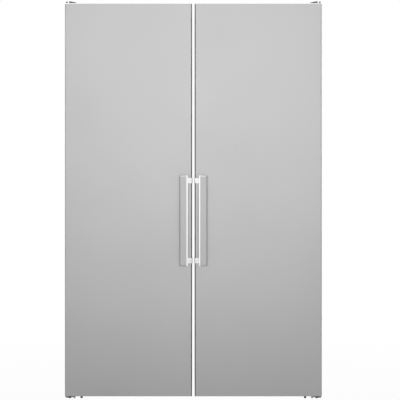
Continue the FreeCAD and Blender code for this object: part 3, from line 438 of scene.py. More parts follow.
@dataclass(frozen=True)
class BrushedMetal(Finish):
    """Metal with fine brush marks that run one way, and faint clouds from handling."""

    grain: Grain = Grain.UPRIGHT
    mark: float = 0.0007
    depth: float = 0.000004
    cloud: float = 0.35
    cloud_share: float = 0.25
    mark_gloss: float = 0.1
    cloud_gloss: float = 0.06

    def sockets(self, kit: NodeKit) -> dict[str, Any]:
        """Brush marks in colour, roughness and height.


        Returns:
            Values or signals by socket name.
        """
        marks = kit.noise(self.mark, self.grain.value, detail=3.0)
        clouds = kit.noise(self.cloud)
        share = marks * (1 - self.cloud_share) + clouds * self.cloud_share
        return {
            "Base Color": self.tones(kit, share),
            "Roughness": self.roughness + marks.swing(self.mark_gloss) + clouds.swing(self.cloud_gloss),
            "Normal": kit.bump(marks, self.depth, kit.eased_edge(self.edge)),
        }


@dataclass(frozen=True)
class Textured(Finish):
    """Paint, plastic, vinyl or foam: a slow drift of tone and gloss, and a relief."""

    drift: float = 0.06
    relief: float = 0.0005
    depth: float = 0.00002
    drift_gloss: float = 0.12
    relief_gloss: float = 0.08

    def sockets(self, kit: NodeKit) -> dict[str, Any]:
        """Drift in tone and gloss, relief in height.


        Returns:
            Values or signals by socket name.
        """
        drift = kit.noise(self.drift, detail=3.0)
        relief = kit.noise(self.relief)
        return {
            "Base Color": self.tones(kit, drift),
            "Roughness": self.roughness + drift.swing(self.drift_gloss) + relief.swing(self.relief_gloss),
            "Normal": kit.bump(relief, self.depth, kit.eased_edge(self.edge)),
        }


@dataclass(frozen=True)
class ZincCoat(Finish):
    """Zinc-coated steel with its crystal pattern."""

    crystal: float = 0.012
    crystal_share: float = 0.7
    cloud: float = 0.09
    gloss: float = 0.2

    def sockets(self, kit: NodeKit) -> dict[str, Any]:
        """Crystals that differ in tone and gloss.


        Returns:
            Values or signals by socket name.
        """
        clouds = kit.noise(self.cloud, detail=4.0) * (1 - self.crystal_share)
        share = kit.crystals(self.crystal) * self.crystal_share + clouds
        return {
            "Base Color": self.tones(kit, share),
            "Roughness": self.roughness + share.swing(self.gloss),
            "Normal": kit.eased_edge(self.edge),
        }


@dataclass(frozen=True)
class ClearMoulding(Finish):
    """Clear moulded plastic, a little cloudy, with fine flow lines."""

    cover: float = 0.34
    cloud: float = 0.05
    cloud_cover: float = 0.1
    flow: float = 0.004
    flow_stretch: Point = (0.2, 1.0, 1.0)
    flow_gloss: float = 0.1

    def sockets(self, kit: NodeKit) -> dict[str, Any]:
        """Cloudiness in alpha, flow lines in gloss.


        Returns:
            Values or signals by socket name.
        """
        cloud = kit.noise(self.cloud, detail=3.0)
        flow = kit.noise(self.flow, self.flow_stretch)
        return {
            "Base Color": self.tones(kit, cloud),
            "Roughness": self.roughness + flow.swing(self.flow_gloss),
            "Alpha": self.cover + cloud.swing(self.cloud_cover),
            "Normal": kit.eased_edge(self.edge),
        }


@dataclass(frozen=True)
class ShelfGlass(Finish):
    """Toughened glass with a slight green."""

    wipe: float = 0.03
    wipe_stretch: Point = (0.25, 1.0, 1.0)
    wipe_gloss: float = 0.02
    clearness: float = 0.92
    refraction: float = 1.5

    def sockets(self, kit: NodeKit) -> dict[str, Any]:
        """A clear body with faint wipe marks in its gloss.


        Returns:
            Values or signals by socket name.
        """
        wipe = kit.noise(self.wipe, self.wipe_stretch, detail=3.0)
        return {
            "Base Color": self.tones(kit, wipe),
            "Roughness": self.roughness + wipe.swing(self.wipe_gloss),
            "Transmission Weight": self.clearness,
            "IOR": self.refraction,
        }


@dataclass(frozen=True)
class Glowing(Finish):
    """A frosted cover or a display segment that gives some light."""

    glow: float = 1.6
    cloud: float = 0.05
    frost: float = 0.0009
    frost_gloss: float = 0.1

    def sockets(self, kit: NodeKit) -> dict[str, Any]:
        """Frost in gloss and a slightly uneven glow.


        Returns:
            Values or signals by socket name.
        """
        frost = kit.noise(self.frost)
        lamp = self.tones(kit, kit.noise(self.cloud, detail=1.0))
        return {
            "Base Color": lamp,
            "Roughness": self.roughness + frost.swing(self.frost_gloss),
            "Emission Color": lamp,
            "Emission Strength": self.glow,
        }


STEEL_GREY = (0.50, 0.50, 0.50)
PAINT_BLACK = (0.035, 0.035, 0.037)
PAINT_GREY = (0.56, 0.565, 0.57)
COPPER = (0.62, 0.30, 0.17)

# Painted shade: a near-black band on the round fold of each door beside the gap, where the gap would shade it
FOLD_PAINTED_SHADE = Patch((Zone(x=(0.0066, 0.0105)),), (0.08, 0.08, 0.08), metallic=0.3)
# Painted highlight: a near-white band over the top end of each handle bar, where light from above would catch
# it
BAR_END_PAINTED_HIGHLIGHT = Patch((Zone(z=(1.0488, FAR)),), (0.95, 0.95, 0.95), metallic=0.3)
# Tones of their own on the straps and the pipes
STRAP_TONE = Patch((Zone(x=(-FAR, 0.0249)),), (0.84, 0.84, 0.84), metallic=0.24)
COMPRESSOR_PIPES = Patch((Zone(x=(-FAR, 0.285), z=(0.055, FAR)),), COPPER, metallic=0.9, contrast=0.18)
CONDENSER_PIPES = replace(COMPRESSOR_PIPES, zones=(Zone(x=(0.1978, FAR)), Zone(y=(-FAR, 0.2885))))

# The door steel carries the painted shade on its fold beside the gap
DOOR_STEEL = BrushedMetal(
    "door_steel", "steel_front", STEEL_GREY, roughness=0.58, metallic=0.3, edge=0.001, patch=FOLD_PAINTED_SHADE
)
# The handle bars carry the painted highlight on their top end
HANDLE_STEEL = replace(
    DOOR_STEEL,
    name="handle_steel",
    colour=shade(STEEL_GREY, 0.92),
    edge=0.0008,
    patch=BAR_END_PAINTED_HIGHLIGHT,
    mark=0.0005,
)
BRIGHT_METAL = BrushedMetal(
    "bright_metal",
    "bright_aluminium",
    (0.82, 0.825, 0.83),
    roughness=0.57,
    metallic=0.4,
    contrast=0.03,
    patch=STRAP_TONE,
    mark=0.0004,
)
TRIM_METAL = BrushedMetal(
    "trim_metal",
    "bright_aluminium",
    (0.80, 0.81, 0.82),
    roughness=0.3,
    metallic=0.9,
    grain=Grain.LEVEL,
    mark=0.0004,
)
FIN_METAL = BrushedMetal("fin_metal", "fin_aluminium", (0.78, 0.79, 0.80), metallic=0.9, mark=0.001)
BLACK_PAINT = Textured(
    "sprayed_black", "black_paint", PAINT_BLACK, roughness=0.38, relief=0.0016, depth=0.000012
)
COMPRESSOR_PAINT = replace(BLACK_PAINT, name="compressor_paint", patch=COMPRESSOR_PIPES)
CONDENSER_PAINT = replace(BLACK_PAINT, name="condenser_paint", patch=CONDENSER_PIPES)
CABINET_PAINT = replace(
    BLACK_PAINT, name="sprayed_cabinet", slot="cabinet_paint", colour=PAINT_GREY, metallic=0.25, drift=0.22
)
BRACKET_PAINT = replace(
    BLACK_PAINT, name="bracket_paint", slot="zinc", colour=(0.24, 0.24, 0.24), roughness=0.45, metallic=0.4
)
COATED_SHEET = ZincCoat(
    "coated_sheet", "galvanised", (0.50, 0.51, 0.52), roughness=0.45, metallic=0.75, contrast=0.12
)
ZINC_PLATE = ZincCoat("zinc_plate", "zinc", (0.66, 0.65, 0.61), roughness=0.36, metallic=0.85, crystal=0.002)
BRIGHT_ZINC = replace(ZINC_PLATE, name="bright_zinc", colour=(0.93, 0.93, 0.91), roughness=0.3, metallic=0.95)
WHITE_LINER = Textured(
    "formed_liner",
    "white_liner",
    (0.86, 0.87, 0.88),
    roughness=0.3,
    edge=0.002,
    contrast=0.015,
    drift=0.5,
    relief=0.2,
    depth=0.0003,
)
WHITE_MOULDING = Textured("white_moulding", "white_plastic", (0.84, 0.85, 0.86))
GREY_MOULDING = Textured("grey_moulding", "grey_plastic", (0.10, 0.10, 0.105), roughness=0.5)
BLACK_MOULDING = Textured("black_moulding", "black_plastic", (0.012, 0.012, 0.013), roughness=0.5)
DARK_PANE = replace(
    BLACK_MOULDING,
    name="dark_pane",
    colour=(0.012, 0.013, 0.016),
    roughness=0.14,
    relief=0.004,
    depth=0.000002,
)
CLEAR_MOULDING = ClearMoulding("clear_moulding", "clear_plastic", (0.80, 0.87, 0.92), roughness=0.18)
SHELF_GLASS = ShelfGlass("shelf_glass", "glass", (0.86, 0.95, 0.92), roughness=0.03, contrast=0.02)
GREY_SEAL = Textured("grey_seal", "gasket", (0.38, 0.385, 0.39), roughness=0.62, contrast=0.1, drift=0.02)
BLACK_RUBBER = replace(
    GREY_SEAL, name="black_rubber", slot="rubber", colour=(0.03, 0.03, 0.032), roughness=0.7
)
HARD_FOAM = Textured(
    "hard_foam", "foam", (0.72, 0.60, 0.30), roughness=0.9, contrast=0.1, relief=0.003, depth=0.0003
)
LIGHT_LENS = Glowing("lamp_lens", "light_lens", (0.94, 0.96, 1.0), roughness=0.5, glow=5.0)
LIT_SEGMENT = replace(LIGHT_LENS, name="lit_segment", colour=(0.72, 0.90, 1.0), roughness=0.4, glow=1.6)

SLOT_FINISHES: dict[str, Finish] = {
    finish.slot: finish
    for finish in (
        DOOR_STEEL,
        BRIGHT_METAL,
        CABINET_PAINT,
        COATED_SHEET,
        ZINC_PLATE,
        BLACK_PAINT,
        WHITE_LINER,
        HARD_FOAM,
        GREY_MOULDING,
        BLACK_MOULDING,
        WHITE_MOULDING,
        CLEAR_MOULDING,
        GREY_SEAL,
        BLACK_RUBBER,
        SHELF_GLASS,
        FIN_METAL,
        LIGHT_LENS,
    )
}

NODE_FINISHES: dict[str, Finish] = {
    "freezer_handle_bar": HANDLE_STEEL,
    "fridge_handle_bar": HANDLE_STEEL,
    "fridge_shelf_trims": TRIM_METAL,
    "compressors": COMPRESSOR_PAINT,
    "condensers": CONDENSER_PAINT,
    "lower_hinges": BRACKET_PAINT,
    "upper_hinges": BRIGHT_ZINC,
}


def dress_nodes(frame: Mapping[str, Any]) -> None:
    """Gives every CAD node the finish of its slot, or one of its own.
    """
    for subpart in frame["record"]["subparts"]:
        node = subpart["node"]
        finish = NODE_FINISHES.get(node, SLOT_FINISHES[subpart["material_slot"]])
        materials = frame["nodes"][node].data.materials
        materials.clear()
        materials.append(finish.material())
        log.info("node %s: %s", node, finish.name)


# Mesh making


def rounded(width: float, height: float, radius: float, steps: int = 5) -> list[Flat]:
    """The outline of a rectangle with round corners, about its middle.

    Args:
        width: Its size along the first axis.
        height: Its size along the second axis.
        radius: The radius of its corners.
        steps: How many runs make a corner.

    Returns:
        Points in order round the outline.
    """
    points = []
    for quarter, (i, j) in enumerate(((1, 1), (-1, 1), (-1, -1), (1, -1))):
        for step in range(steps + 1):
            angle = math.pi / 2 * (quarter + step / steps)
            across = i * (width / 2 - radius) + radius * math.cos(angle)
            along = j * (height / 2 - radius) + radius * math.sin(angle)
            points.append((across, along))
    return points


def circle(radius: float, steps: int = 24) -> list[Flat]:
    """Points round a circle.

    Args:
        radius: Its radius.
        steps: How many points.

    Returns:
        The points in order.
    """
    turns = [2 * math.pi * n / steps for n in range(steps)]
    return [(radius * math.cos(turn), radius * math.sin(turn)) for turn in turns]


class Skin:
    """A mesh under construction."""

    def __init__(self) -> None:
        """Starts with nothing."""
        self.build = bmesh.new()

    def loft(self, rings: Sequence[Sequence[Point]], closed: bool = False) -> None:
        """Adds a skin over rings of as many points each.

        Args:
            rings: Closed rings of points, in order.
            closed: Whether the last ring meets the first; otherwise both ends are capped.
        """
        rows = [[self.build.verts.new(point) for point in ring] for ring in rings]
        following = rows[1:] + rows[:1] if closed else rows[1:]
        for row, after in zip(rows, following):
            for n in range(len(row)):
                m = (n + 1) % len(row)
                self.build.faces.new((row[n], row[m], after[m], after[n]))
        if not closed:
            self.build.faces.new(rows[0])
            self.build.faces.new(rows[-1])

    def upright(self, middle: Point, layers: Sequence[tuple[float, float]], steps: int = 24) -> None:
        """Adds a turned form about an upright axis.

        Args:
            middle: The point that heights are measured from.
            layers: Pairs of radius and height.
            steps: How many points go round.
        """
        x, y, z = middle
        self.loft([[(x + a, y + b, z + h) for a, b in circle(radius, steps)] for radius, h in layers])

    def plate(self, middle: Point, outline: Sequence[Flat], depths: Sequence[tuple[float, float]]) -> None:
        """Adds a plate seen from the front.

        Args:
            middle: The point that the outline and the depths are measured from.
            outline: Points across and up.
            depths: Pairs of depth along y and scale of the outline there.
        """
        x, y, z = middle
        self.loft([[(x + a * s, y + d, z + b * s) for a, b in outline] for d, s in depths])

    def mesh(self, name: str) -> bpy.types.Mesh:
        """Ends the construction.

        Args:
            name: The mesh's name.

        Returns:
            The mesh, with its faces pointing outwards.
        """
        bmesh.ops.recalc_face_normals(self.build, faces=self.build.faces)
        mesh = bpy.data.meshes.new(name)
        self.build.to_mesh(mesh)
        self.build.free()
        return mesh


def settle(piece: bpy.types.Object, body: str, finish: Finish) -> bpy.types.Object:
    """Puts a finished piece on its body.

    Args:
        piece: The piece, which has its place in its mesh.
        body: The body that it moves with.
        finish: What it is made of.

    Returns:
        The piece.
    """
    if not piece.data.materials:
        piece.data.materials.append(finish.material())
    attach(piece, body)
    log.info("piece %s on %s: %s, %d faces", piece.name, body, finish.name, len(piece.data.polygons))
    return piece


def add_piece(mesh: bpy.types.Mesh, body: str, finish: Finish) -> bpy.types.Object:
    """Makes a piece of a mesh.

    Args:
        mesh: The mesh, which gives the piece its name.
        body: The body that it moves with.
        finish: What it is made of.

    Returns:
        The piece.
    """
    piece = bpy.data.objects.new(mesh.name, mesh)
    bpy.context.collection.objects.link(piece)
    return settle(piece, body, finish)


class Pattern:
    """A Geometry Nodes tree with named sizes, which turns a base mesh into a finished one."""

    def __init__(self, name: str, sizes: Mapping[str, float]) -> None:
        """Makes the tree and its inputs.

        Args:
            name: The tree's name.
            sizes: The inputs and what they are by default; whole numbers make counts.
        """
        self.tree = bpy.data.node_groups.new(name, "GeometryNodeTree")
        self.kit = NodeKit(self.tree)
        interface = self.tree.interface
        interface.new_socket("Geometry", in_out="INPUT", socket_type="NodeSocketGeometry")
        interface.new_socket("Geometry", in_out="OUTPUT", socket_type="NodeSocketGeometry")
        for size, value in sizes.items():
            kind = "NodeSocketInt" if isinstance(value, int) else "NodeSocketFloat"
            interface.new_socket(size, in_out="INPUT", socket_type=kind).default_value = value

    def entry(self, name: str) -> Signal:
        """One of the tree's inputs."""
        return self.kit.add("NodeGroupInput", out=name)

    def vector(self, x: Any, y: Any, z: Any) -> Signal:
        """Three values as a vector."""
        return self.kit.add("ShaderNodeCombineXYZ", inputs={"X": x, "Y": y, "Z": z})

    def on_points(self, shape: Signal) -> Signal:
        """A shape on every base point, turned to the way that the point faces.

        Args:
            shape: The shape to repeat, which points along z.

        Returns:
            The repeated shapes.
        """
        kind = {"data_type": "FLOAT_VECTOR"}
        way = self.kit.add("GeometryNodeInputNamedAttribute", kind, {"Name": "facing"})
        turn = self.kit.add("FunctionNodeAlignRotationToVector", {"axis": "Z"}, {"Vector": way})
        inputs = {"Points": self.entry("Geometry"), "Instance": shape, "Rotation": turn}
        return self.kit.add("GeometryNodeInstanceOnPoints", inputs=inputs)

    def close(self, shape: Signal, finish: Finish) -> Pattern:
        """Ends the tree.

        Args:
            shape: What the tree gives.
            finish: What it is made of.

        Returns:
            The pattern itself.
        """
        whole = self.kit.add("GeometryNodeRealizeInstances", inputs={"Geometry": shape})
        inputs = {"Geometry": whole, "Material": finish.material()}
        dressed = self.kit.add("GeometryNodeSetMaterial", inputs=inputs)
        self.kit.add("NodeGroupOutput", inputs={"Geometry": dressed})
        return self

    def grow(self, name: str, base: bpy.types.Mesh, sizes: Mapping[str, float]) -> bpy.types.Object:
        """Runs the tree on a base mesh.

        Args:
            name: The piece's name.
            base: The mesh that the tree starts from.
            sizes: Values for the tree's inputs.

        Returns:
            An object with a plain mesh.
        """
        piece = bpy.data.objects.new(name, base)
        bpy.context.collection.objects.link(piece)
        modifier = piece.modifiers.new("pattern", "NODES")
        modifier.node_group = self.tree
        for item in self.tree.interface.items_tree:
            if item.in_out == "INPUT" and item.name in sizes:
                modifier[item.identifier] = sizes[item.name]
        graph = bpy.context.evaluated_depsgraph_get()
        made = bpy.data.meshes.new_from_object(piece.evaluated_get(graph))
        piece.modifiers.remove(modifier)
        piece.data = made
        made.name = name
        return piece


def facing_points(name: str, places: Sequence[tuple[Point, Point]]) -> bpy.types.Mesh:
    """A mesh of bare points that each face a way.

    Args:
        name: The mesh's name.
        places: Pairs of place and direction.

    Returns:
        The mesh, with the directions in the attribute "facing".
    """
    mesh = bpy.data.meshes.new(name)
    mesh.from_pydata([place for place, _ in places], [], [])
    facing = mesh.attributes.new("facing", "FLOAT_VECTOR", "POINT")
    for item, (_, way) in zip(facing.data, places):
        item.vector = way
    return mesh


# Fittings


@dataclass
class Fixings:
    """Cross-head screws of the hinges and the rear panels, and round blanking plugs."""

    head_radius: float = 4.5 * MM
    crown_radius: float = 3.1 * MM
    head_height: float = 2.5 * MM
    slot_length: float = 4.8 * MM
    slot_width: float = 1.0 * MM
    slot_depth: float = 1.3 * MM
    plug_radius: float = 14.0 * MM
    plug_height: float = 2.0 * MM
    cap_plug_radius: float = 6.0 * MM
    cap_plug_height: float = 0.8 * MM
    cap_plug_inset: float = 7.0 * MM
    cap_plug_setback: float = 30.0 * MM
    panel_inset: float = 9.0 * MM
    panel_steps: int = 5
    panel_recess: float = 4.0 * MM
    recess_height: float = 215.0 * MM
    head_sides: int = 20
    plug_sides: int = 32
    plug_crown: float = 0.86
    plug_levels: Flat = (0.3, 0.8)
    second_slot: float = 0.9
    weld: float = 0.001 * MM
    upper_level: float = 1000.0 * MM

    def build(self, frame: Mapping[str, Any]) -> None:
        """Makes all of them.
        """
        screws = self.screw_pattern()
        places = self.hinge_screw_places(frame["nodes"]["cabinet_screws"].data)
        points = facing_points("hinge_screws", places)
        piece = screws.grow("hinge_screws", points, self.screw_sizes())
        settle(piece, FIXED, ZINC_PLATE)
        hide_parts("cabinet_screws")
        points = facing_points("rear_screws", self.rear_screw_places())
        settle(screws.grow("rear_screws", points, self.screw_sizes()), FIXED, ZINC_PLATE)
        plugs = self.plug_pattern()
        sizes = {"Radius": self.plug_radius, "Height": self.plug_height}
        points = facing_points("foam_plugs", self.foam_plug_places())
        settle(plugs.grow("foam_plugs", points, sizes), FIXED, GREY_MOULDING)
        sizes = {"Radius": self.cap_plug_radius, "Height": self.cap_plug_height}
        for side in Side:
            name = side.node("blanking_plugs")
            points = facing_points(name, self.blanking_places(side))
            settle(plugs.grow(name, points, sizes), side.door, GREY_MOULDING)

    def screw_sizes(self) -> dict[str, float]:
        """The sizes of a screw head, by the names of the pattern's inputs.

        Returns:
            The sizes.
        """
        return {
            "Head Radius": self.head_radius,
            "Crown Radius": self.crown_radius,
            "Head Height": self.head_height,
            "Slot Length": self.slot_length,
            "Slot Width": self.slot_width,
            "Slot Depth": self.slot_depth,
        }

    def screw_pattern(self) -> Pattern:
        """A domed head with a cross recess on every point.

        Returns:
            The pattern.
        """
        pattern = Pattern("cross_head_screws", self.screw_sizes())
        kit = pattern.kit
        height = pattern.entry("Head Height")
        rim = {
            "Vertices": self.head_sides,
            "Radius Top": pattern.entry("Crown Radius"),
            "Radius Bottom": pattern.entry("Head Radius"),
            "Depth": height,
        }
        head = kit.add("GeometryNodeMeshCone", inputs=rim)
        length, width = pattern.entry("Slot Length"), pattern.entry("Slot Width")
        # The bars that cut the slots stand half above the head
        depth = pattern.entry("Slot Depth") * 2
        second = depth * self.second_slot
        slots = []
        for size in (pattern.vector(length, width, depth), pattern.vector(width, length, second)):
            bar = kit.add("GeometryNodeMeshCube", inputs={"Size": size})
            lift = {"Geometry": bar, "Translation": pattern.vector(0.0, 0.0, height)}
            slots.append(kit.add("GeometryNodeTransform", inputs=lift))
        meshes = {"Mesh 1": head, "Mesh 2": slots}
        cut = kit.add("GeometryNodeMeshBoolean", {"operation": "DIFFERENCE"}, meshes)
        return pattern.close(pattern.on_points(cut), ZINC_PLATE)

    def plug_pattern(self) -> Pattern:
        """A round plug with a bevelled rim on every point.

        Returns:
            The pattern.
        """
        pattern = Pattern("round_plugs", {"Radius": self.plug_radius, "Height": self.plug_height})
        radius = pattern.entry("Radius")
        inputs = {
            "Vertices": self.plug_sides,
            "Radius Top": radius * self.plug_crown,
            "Radius Bottom": radius,
            "Depth": pattern.entry("Height"),
        }
        plug = pattern.kit.add("GeometryNodeMeshCone", inputs=inputs)
        return pattern.close(pattern.on_points(plug), GREY_MOULDING)

    def hinge_screw_places(self, mesh: bpy.types.Mesh) -> list[tuple[Point, Point]]:
        """Where the heads of the hinge screws sit, read from their CAD node.

        Args:
            mesh: The node's mesh.

        Returns:
            Pairs of place and direction.
        """
        copy = bmesh.new()
        copy.from_mesh(mesh)
        bmesh.ops.remove_doubles(copy, verts=copy.verts, dist=self.weld)
        left = set(copy.verts)
        places = []
        while left:
            group, edge = set(), {left.pop()}
            while edge:
                vert = edge.pop()
                group.add(vert)
                linked = {link.other_vert(vert) for link in vert.link_edges}
                edge |= linked - group
            left -= group
            spots = [vert.co for vert in group]
            x = (min(p.x for p in spots) + max(p.x for p in spots)) / 2
            y = (min(p.y for p in spots) + max(p.y for p in spots)) / 2
            # A screw has three levels, and its head sits at the middle one
            levels = sorted({round(p.z, 5) for p in spots})
            places.append(((x, y, levels[1]), UP if levels[0] > self.upper_level else DOWN))
        copy.free()
        return sorted(places)

    def rear_screw_places(self) -> list[tuple[Point, Point]]:
        """Screws along both sides and the top of each rear panel.

        Returns:
            Pairs of place and direction.
        """
        places = []
        for side in Side:
            low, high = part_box(side.node("outer_shell"))
            y = high.y - self.panel_recess
            top, foot = high.z - self.panel_inset, low.z + self.recess_height + 2 * self.panel_inset
            left, right = low.x + self.panel_inset, high.x - self.panel_inset
            for n in range(self.panel_steps + 1):
                z = foot + (top - foot) * n / self.panel_steps
                places += [((x, y, z), BACK) for x in (left, right)]
            places.append((((left + right) / 2, y, top), BACK))
        return places

    def foam_plug_places(self) -> list[tuple[Point, Point]]:
        """Two filling holes in each rear panel, closed by plugs.

        Returns:
            Pairs of place and direction.
        """
        places = []
        for side in Side:
            low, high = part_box(side.node("outer_shell"))
            x = (low.x + high.x) / 2
            for share in self.plug_levels:
                z = low.z + (high.z - low.z) * share
                places.append(((x, high.y - self.panel_recess, z), BACK))
        return places

    def blanking_places(self, side: Side) -> list[tuple[Point, Point]]:
        """The unused hinge holes at the free side of a door.

        Args:
            side: The unit.

        Returns:
            Pairs of place and direction.
        """
        low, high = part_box(side.node("door_skin"))
        free = high.x if side is Side.FREEZER else low.x
        x = free + side.outward * self.cap_plug_inset
        y = low.y + self.cap_plug_setback
        return [((x, y, high.z), UP), ((x, y, low.z), DOWN)]


@dataclass
class HingeFittings:
    """Dark caps on the upper hinge pins, and dark stops on the lower hinge brackets."""

    inset_x: float = 7.0 * MM
    inset_y: float = 30.0 * MM
    cap_radius: float = 3.6 * MM
    cap_height: float = 8.4 * MM
    cap_shoulder: float = 0.95
    cap_crown: float = 0.9
    plate_rise: float = 5.5 * MM
    stop_depth: float = 12.0 * MM
    stop_front: float = 19.5 * MM
    # Across from the door's hinge side and up from its lower edge, in millimetres
    stop_outline: tuple[Flat, ...] = (
        (3.0, -8.0),
        (3.0, -8.8),
        (18.0, -10.0),
        (18.6, -10.6),
        (27.4, -10.6),
        (28.0, -10.0),
        (28.0, -1.4),
        (27.4, -0.9),
        (18.6, -0.9),
        (18.0, -1.4),
        (18.0, -8.0),
    )

    def build(self) -> None:
        """Makes the caps and the stops."""
        caps, stops = Skin(), Skin()
        for side in Side:
            low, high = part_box(side.node("door_skin"))
            hinge = low.x if side is Side.FREEZER else high.x
            foot = (hinge - side.outward * self.inset_x, low.y + self.inset_y, high.z + self.plate_rise)
            radius, height = self.cap_radius, self.cap_height
            shoulder, crown = height * self.cap_shoulder, radius * self.cap_crown
            caps.upright(foot, [(radius, 0.0), (radius, shoulder), (crown, height)])
            outline = [(-side.outward * u * MM, v * MM) for u, v in self.stop_outline]
            corner = (hinge, low.y + self.stop_front, low.z)
            stops.plate(corner, outline, [(0.0, 1.0), (self.stop_depth, 1.0)])
        add_piece(caps.mesh("hinge_pin_caps"), FIXED, BLACK_MOULDING)
        add_piece(stops.mesh("hinge_stops"), FIXED, BLACK_MOULDING)


@dataclass
class Gasket:
    """The bellows seal round the back of a door."""

    # Inset from the edge of the seal and depth from its front, in millimetres
    profile: tuple[Flat, ...] = (
        (0.0, 0.0),
        (0.0, 1.6),
        (2.5, 3.0),
        (5.0, 3.0),
        (6.0, 3.8),
        (3.6, 5.2),
        (3.6, 6.2),
        (6.0, 7.4),
        (4.0, 8.2),
        (4.0, 11.3),
        (4.6, 11.7),
        (13.4, 11.7),
        (14.0, 11.3),
        (14.0, 8.2),
        (12.0, 7.4),
        (14.4, 6.2),
        (14.4, 5.2),
        (12.0, 3.8),
        (13.0, 3.0),
        (15.5, 3.0),
        (18.0, 1.6),
        (18.0, 0.0),
    )

    def build(self, side: Side) -> None:
        """Makes the seal of one door.

        Args:
            side: The unit.
        """
        node = side.node("door_gasket")
        low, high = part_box(node)
        rings = []
        for inset, depth in self.profile:
            u, y = inset * MM, low.y + depth * MM
            rings.append(
                [
                    (low.x + u, y, low.z + u),
                    (high.x - u, y, low.z + u),
                    (high.x - u, y, high.z - u),
                    (low.x + u, y, high.z - u),
                ]
            )
        skin = Skin()
        skin.loft(rings, closed=True)
        piece = add_piece(skin.mesh(side.node("bellows_seal")), side.door, GREY_SEAL)
        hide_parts(node)


@dataclass
class RackTrims:
    """A bright strip along the front edge of every rack of the fridge door."""

    count: int = 5
    pitch: float = 310.0 * MM
    rack_height: float = 72.0 * MM
    corner: float = 16.0 * MM
    wall: float = 1.4 * MM
    height: float = 13.0 * MM
    side_run: float = 26.0 * MM
    drop: float = 3.0 * MM
    corner_steps: int = 6

    def build(self) -> None:
        """Makes one strip and repeats it up the door."""
        pattern = Pattern("stacked_strips", {"Count": self.count, "Pitch": self.pitch})
        step = pattern.vector(0.0, 0.0, pattern.entry("Pitch"))
        row = {"Count": pattern.entry("Count"), "Offset": step}
        line = pattern.kit.add("GeometryNodeMeshLine", inputs=row)
        inputs = {"Points": line, "Instance": pattern.entry("Geometry")}
        strips = pattern.kit.add("GeometryNodeInstanceOnPoints", inputs=inputs)
        pattern.close(strips, TRIM_METAL)
        sizes = {"Count": self.count, "Pitch": self.pitch}
        settle(pattern.grow("rack_strips", self.strip(), sizes), Side.FRIDGE.door, TRIM_METAL)

    def strip(self) -> bpy.types.Mesh:
        """The strip of the lowest rack, bent round its front corners.

        Returns:
            The strip's mesh.
        """
        low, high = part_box("door_racks")
        top = low.z + self.rack_height - self.drop
        rings = []
        low_edge = top - self.height
        for offset, z in ((0.0, low_edge), (self.wall, low_edge), (self.wall, top), (0.0, top)):
            path = self.path(low, high, offset)
            rings.append([(x, y, z) for x, y in path])
        turned = [list(ring) for ring in zip(*rings)]
        skin = Skin()
        skin.loft(turned)
        return skin.mesh("rack_strip")

    def path(self, low: Vector, high: Vector, offset: float) -> list[Flat]:
        """The front of a rack seen from above.

        Args:
            low: The lowest corner of the racks.
            high: Their highest corner.
            offset: How far outside the rack the path runs.

        Returns:
            Points from one side round the front to the other.
        """
        points = [(low.x - offset, high.y - self.side_run)]
        radius = self.corner + offset
        for centre, start in ((low.x + self.corner, math.pi), (high.x - self.corner, math.pi / 2)):
            for n in range(self.corner_steps + 1):
                angle = start - math.pi / 2 * n / self.corner_steps
                x = centre + radius * math.cos(angle)
                points.append((x, high.y - self.corner + radius * math.sin(angle)))
        points.append((high.x + offset, high.y - self.side_run))
        return points


@dataclass
class GripFrames:
    """A white frame round the grip of every drawer."""

    drop: float = 18.0 * MM
    width: float = 150.0 * MM
    height: float = 24.0 * MM
    corner: float = 10.8 * MM
    rim: float = 4.0 * MM
    proud: float = 1.6 * MM
    hood: float = 8.0 * MM
    corner_steps: int = 6
    # Shares of the rim outwards and of the frame's height to the back
    profile: tuple[Flat, ...] = ((0.0, 1.0), (0.0, -1.0), (0.4, -1.0), (0.85, -0.6), (1.0, 0.0), (0.6, 0.2))
    freezer_drawers: int = 6

    def names(self) -> list[str]:
        """The drawers, each a body of its own.

        Returns:
            Their names.
        """
        numbered = [f"freezer_drawer_{n}" for n in range(1, self.freezer_drawers + 1)]
        return numbered + ["crisper_drawer", "chiller_drawer"]

    def build(self) -> None:
        """Makes one frame for each drawer."""
        for name in self.names():
            low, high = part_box(name)
            x, front = (low.x + high.x) / 2, low.y + self.hood
            z = high.z - self.drop - self.height / 2
            rings = []
            for grow, depth in self.profile:
                more = 2 * grow * self.rim
                sizes = (self.width + more, self.height + more, self.corner + more / 2)
                outline = rounded(*sizes, steps=self.corner_steps)
                rings.append([(x + a, front + depth * self.proud, z + b) for a, b in outline])
            skin = Skin()
            skin.loft(rings, closed=True)
            add_piece(skin.mesh(f"{name}_grip_frame"), name, WHITE_MOULDING)


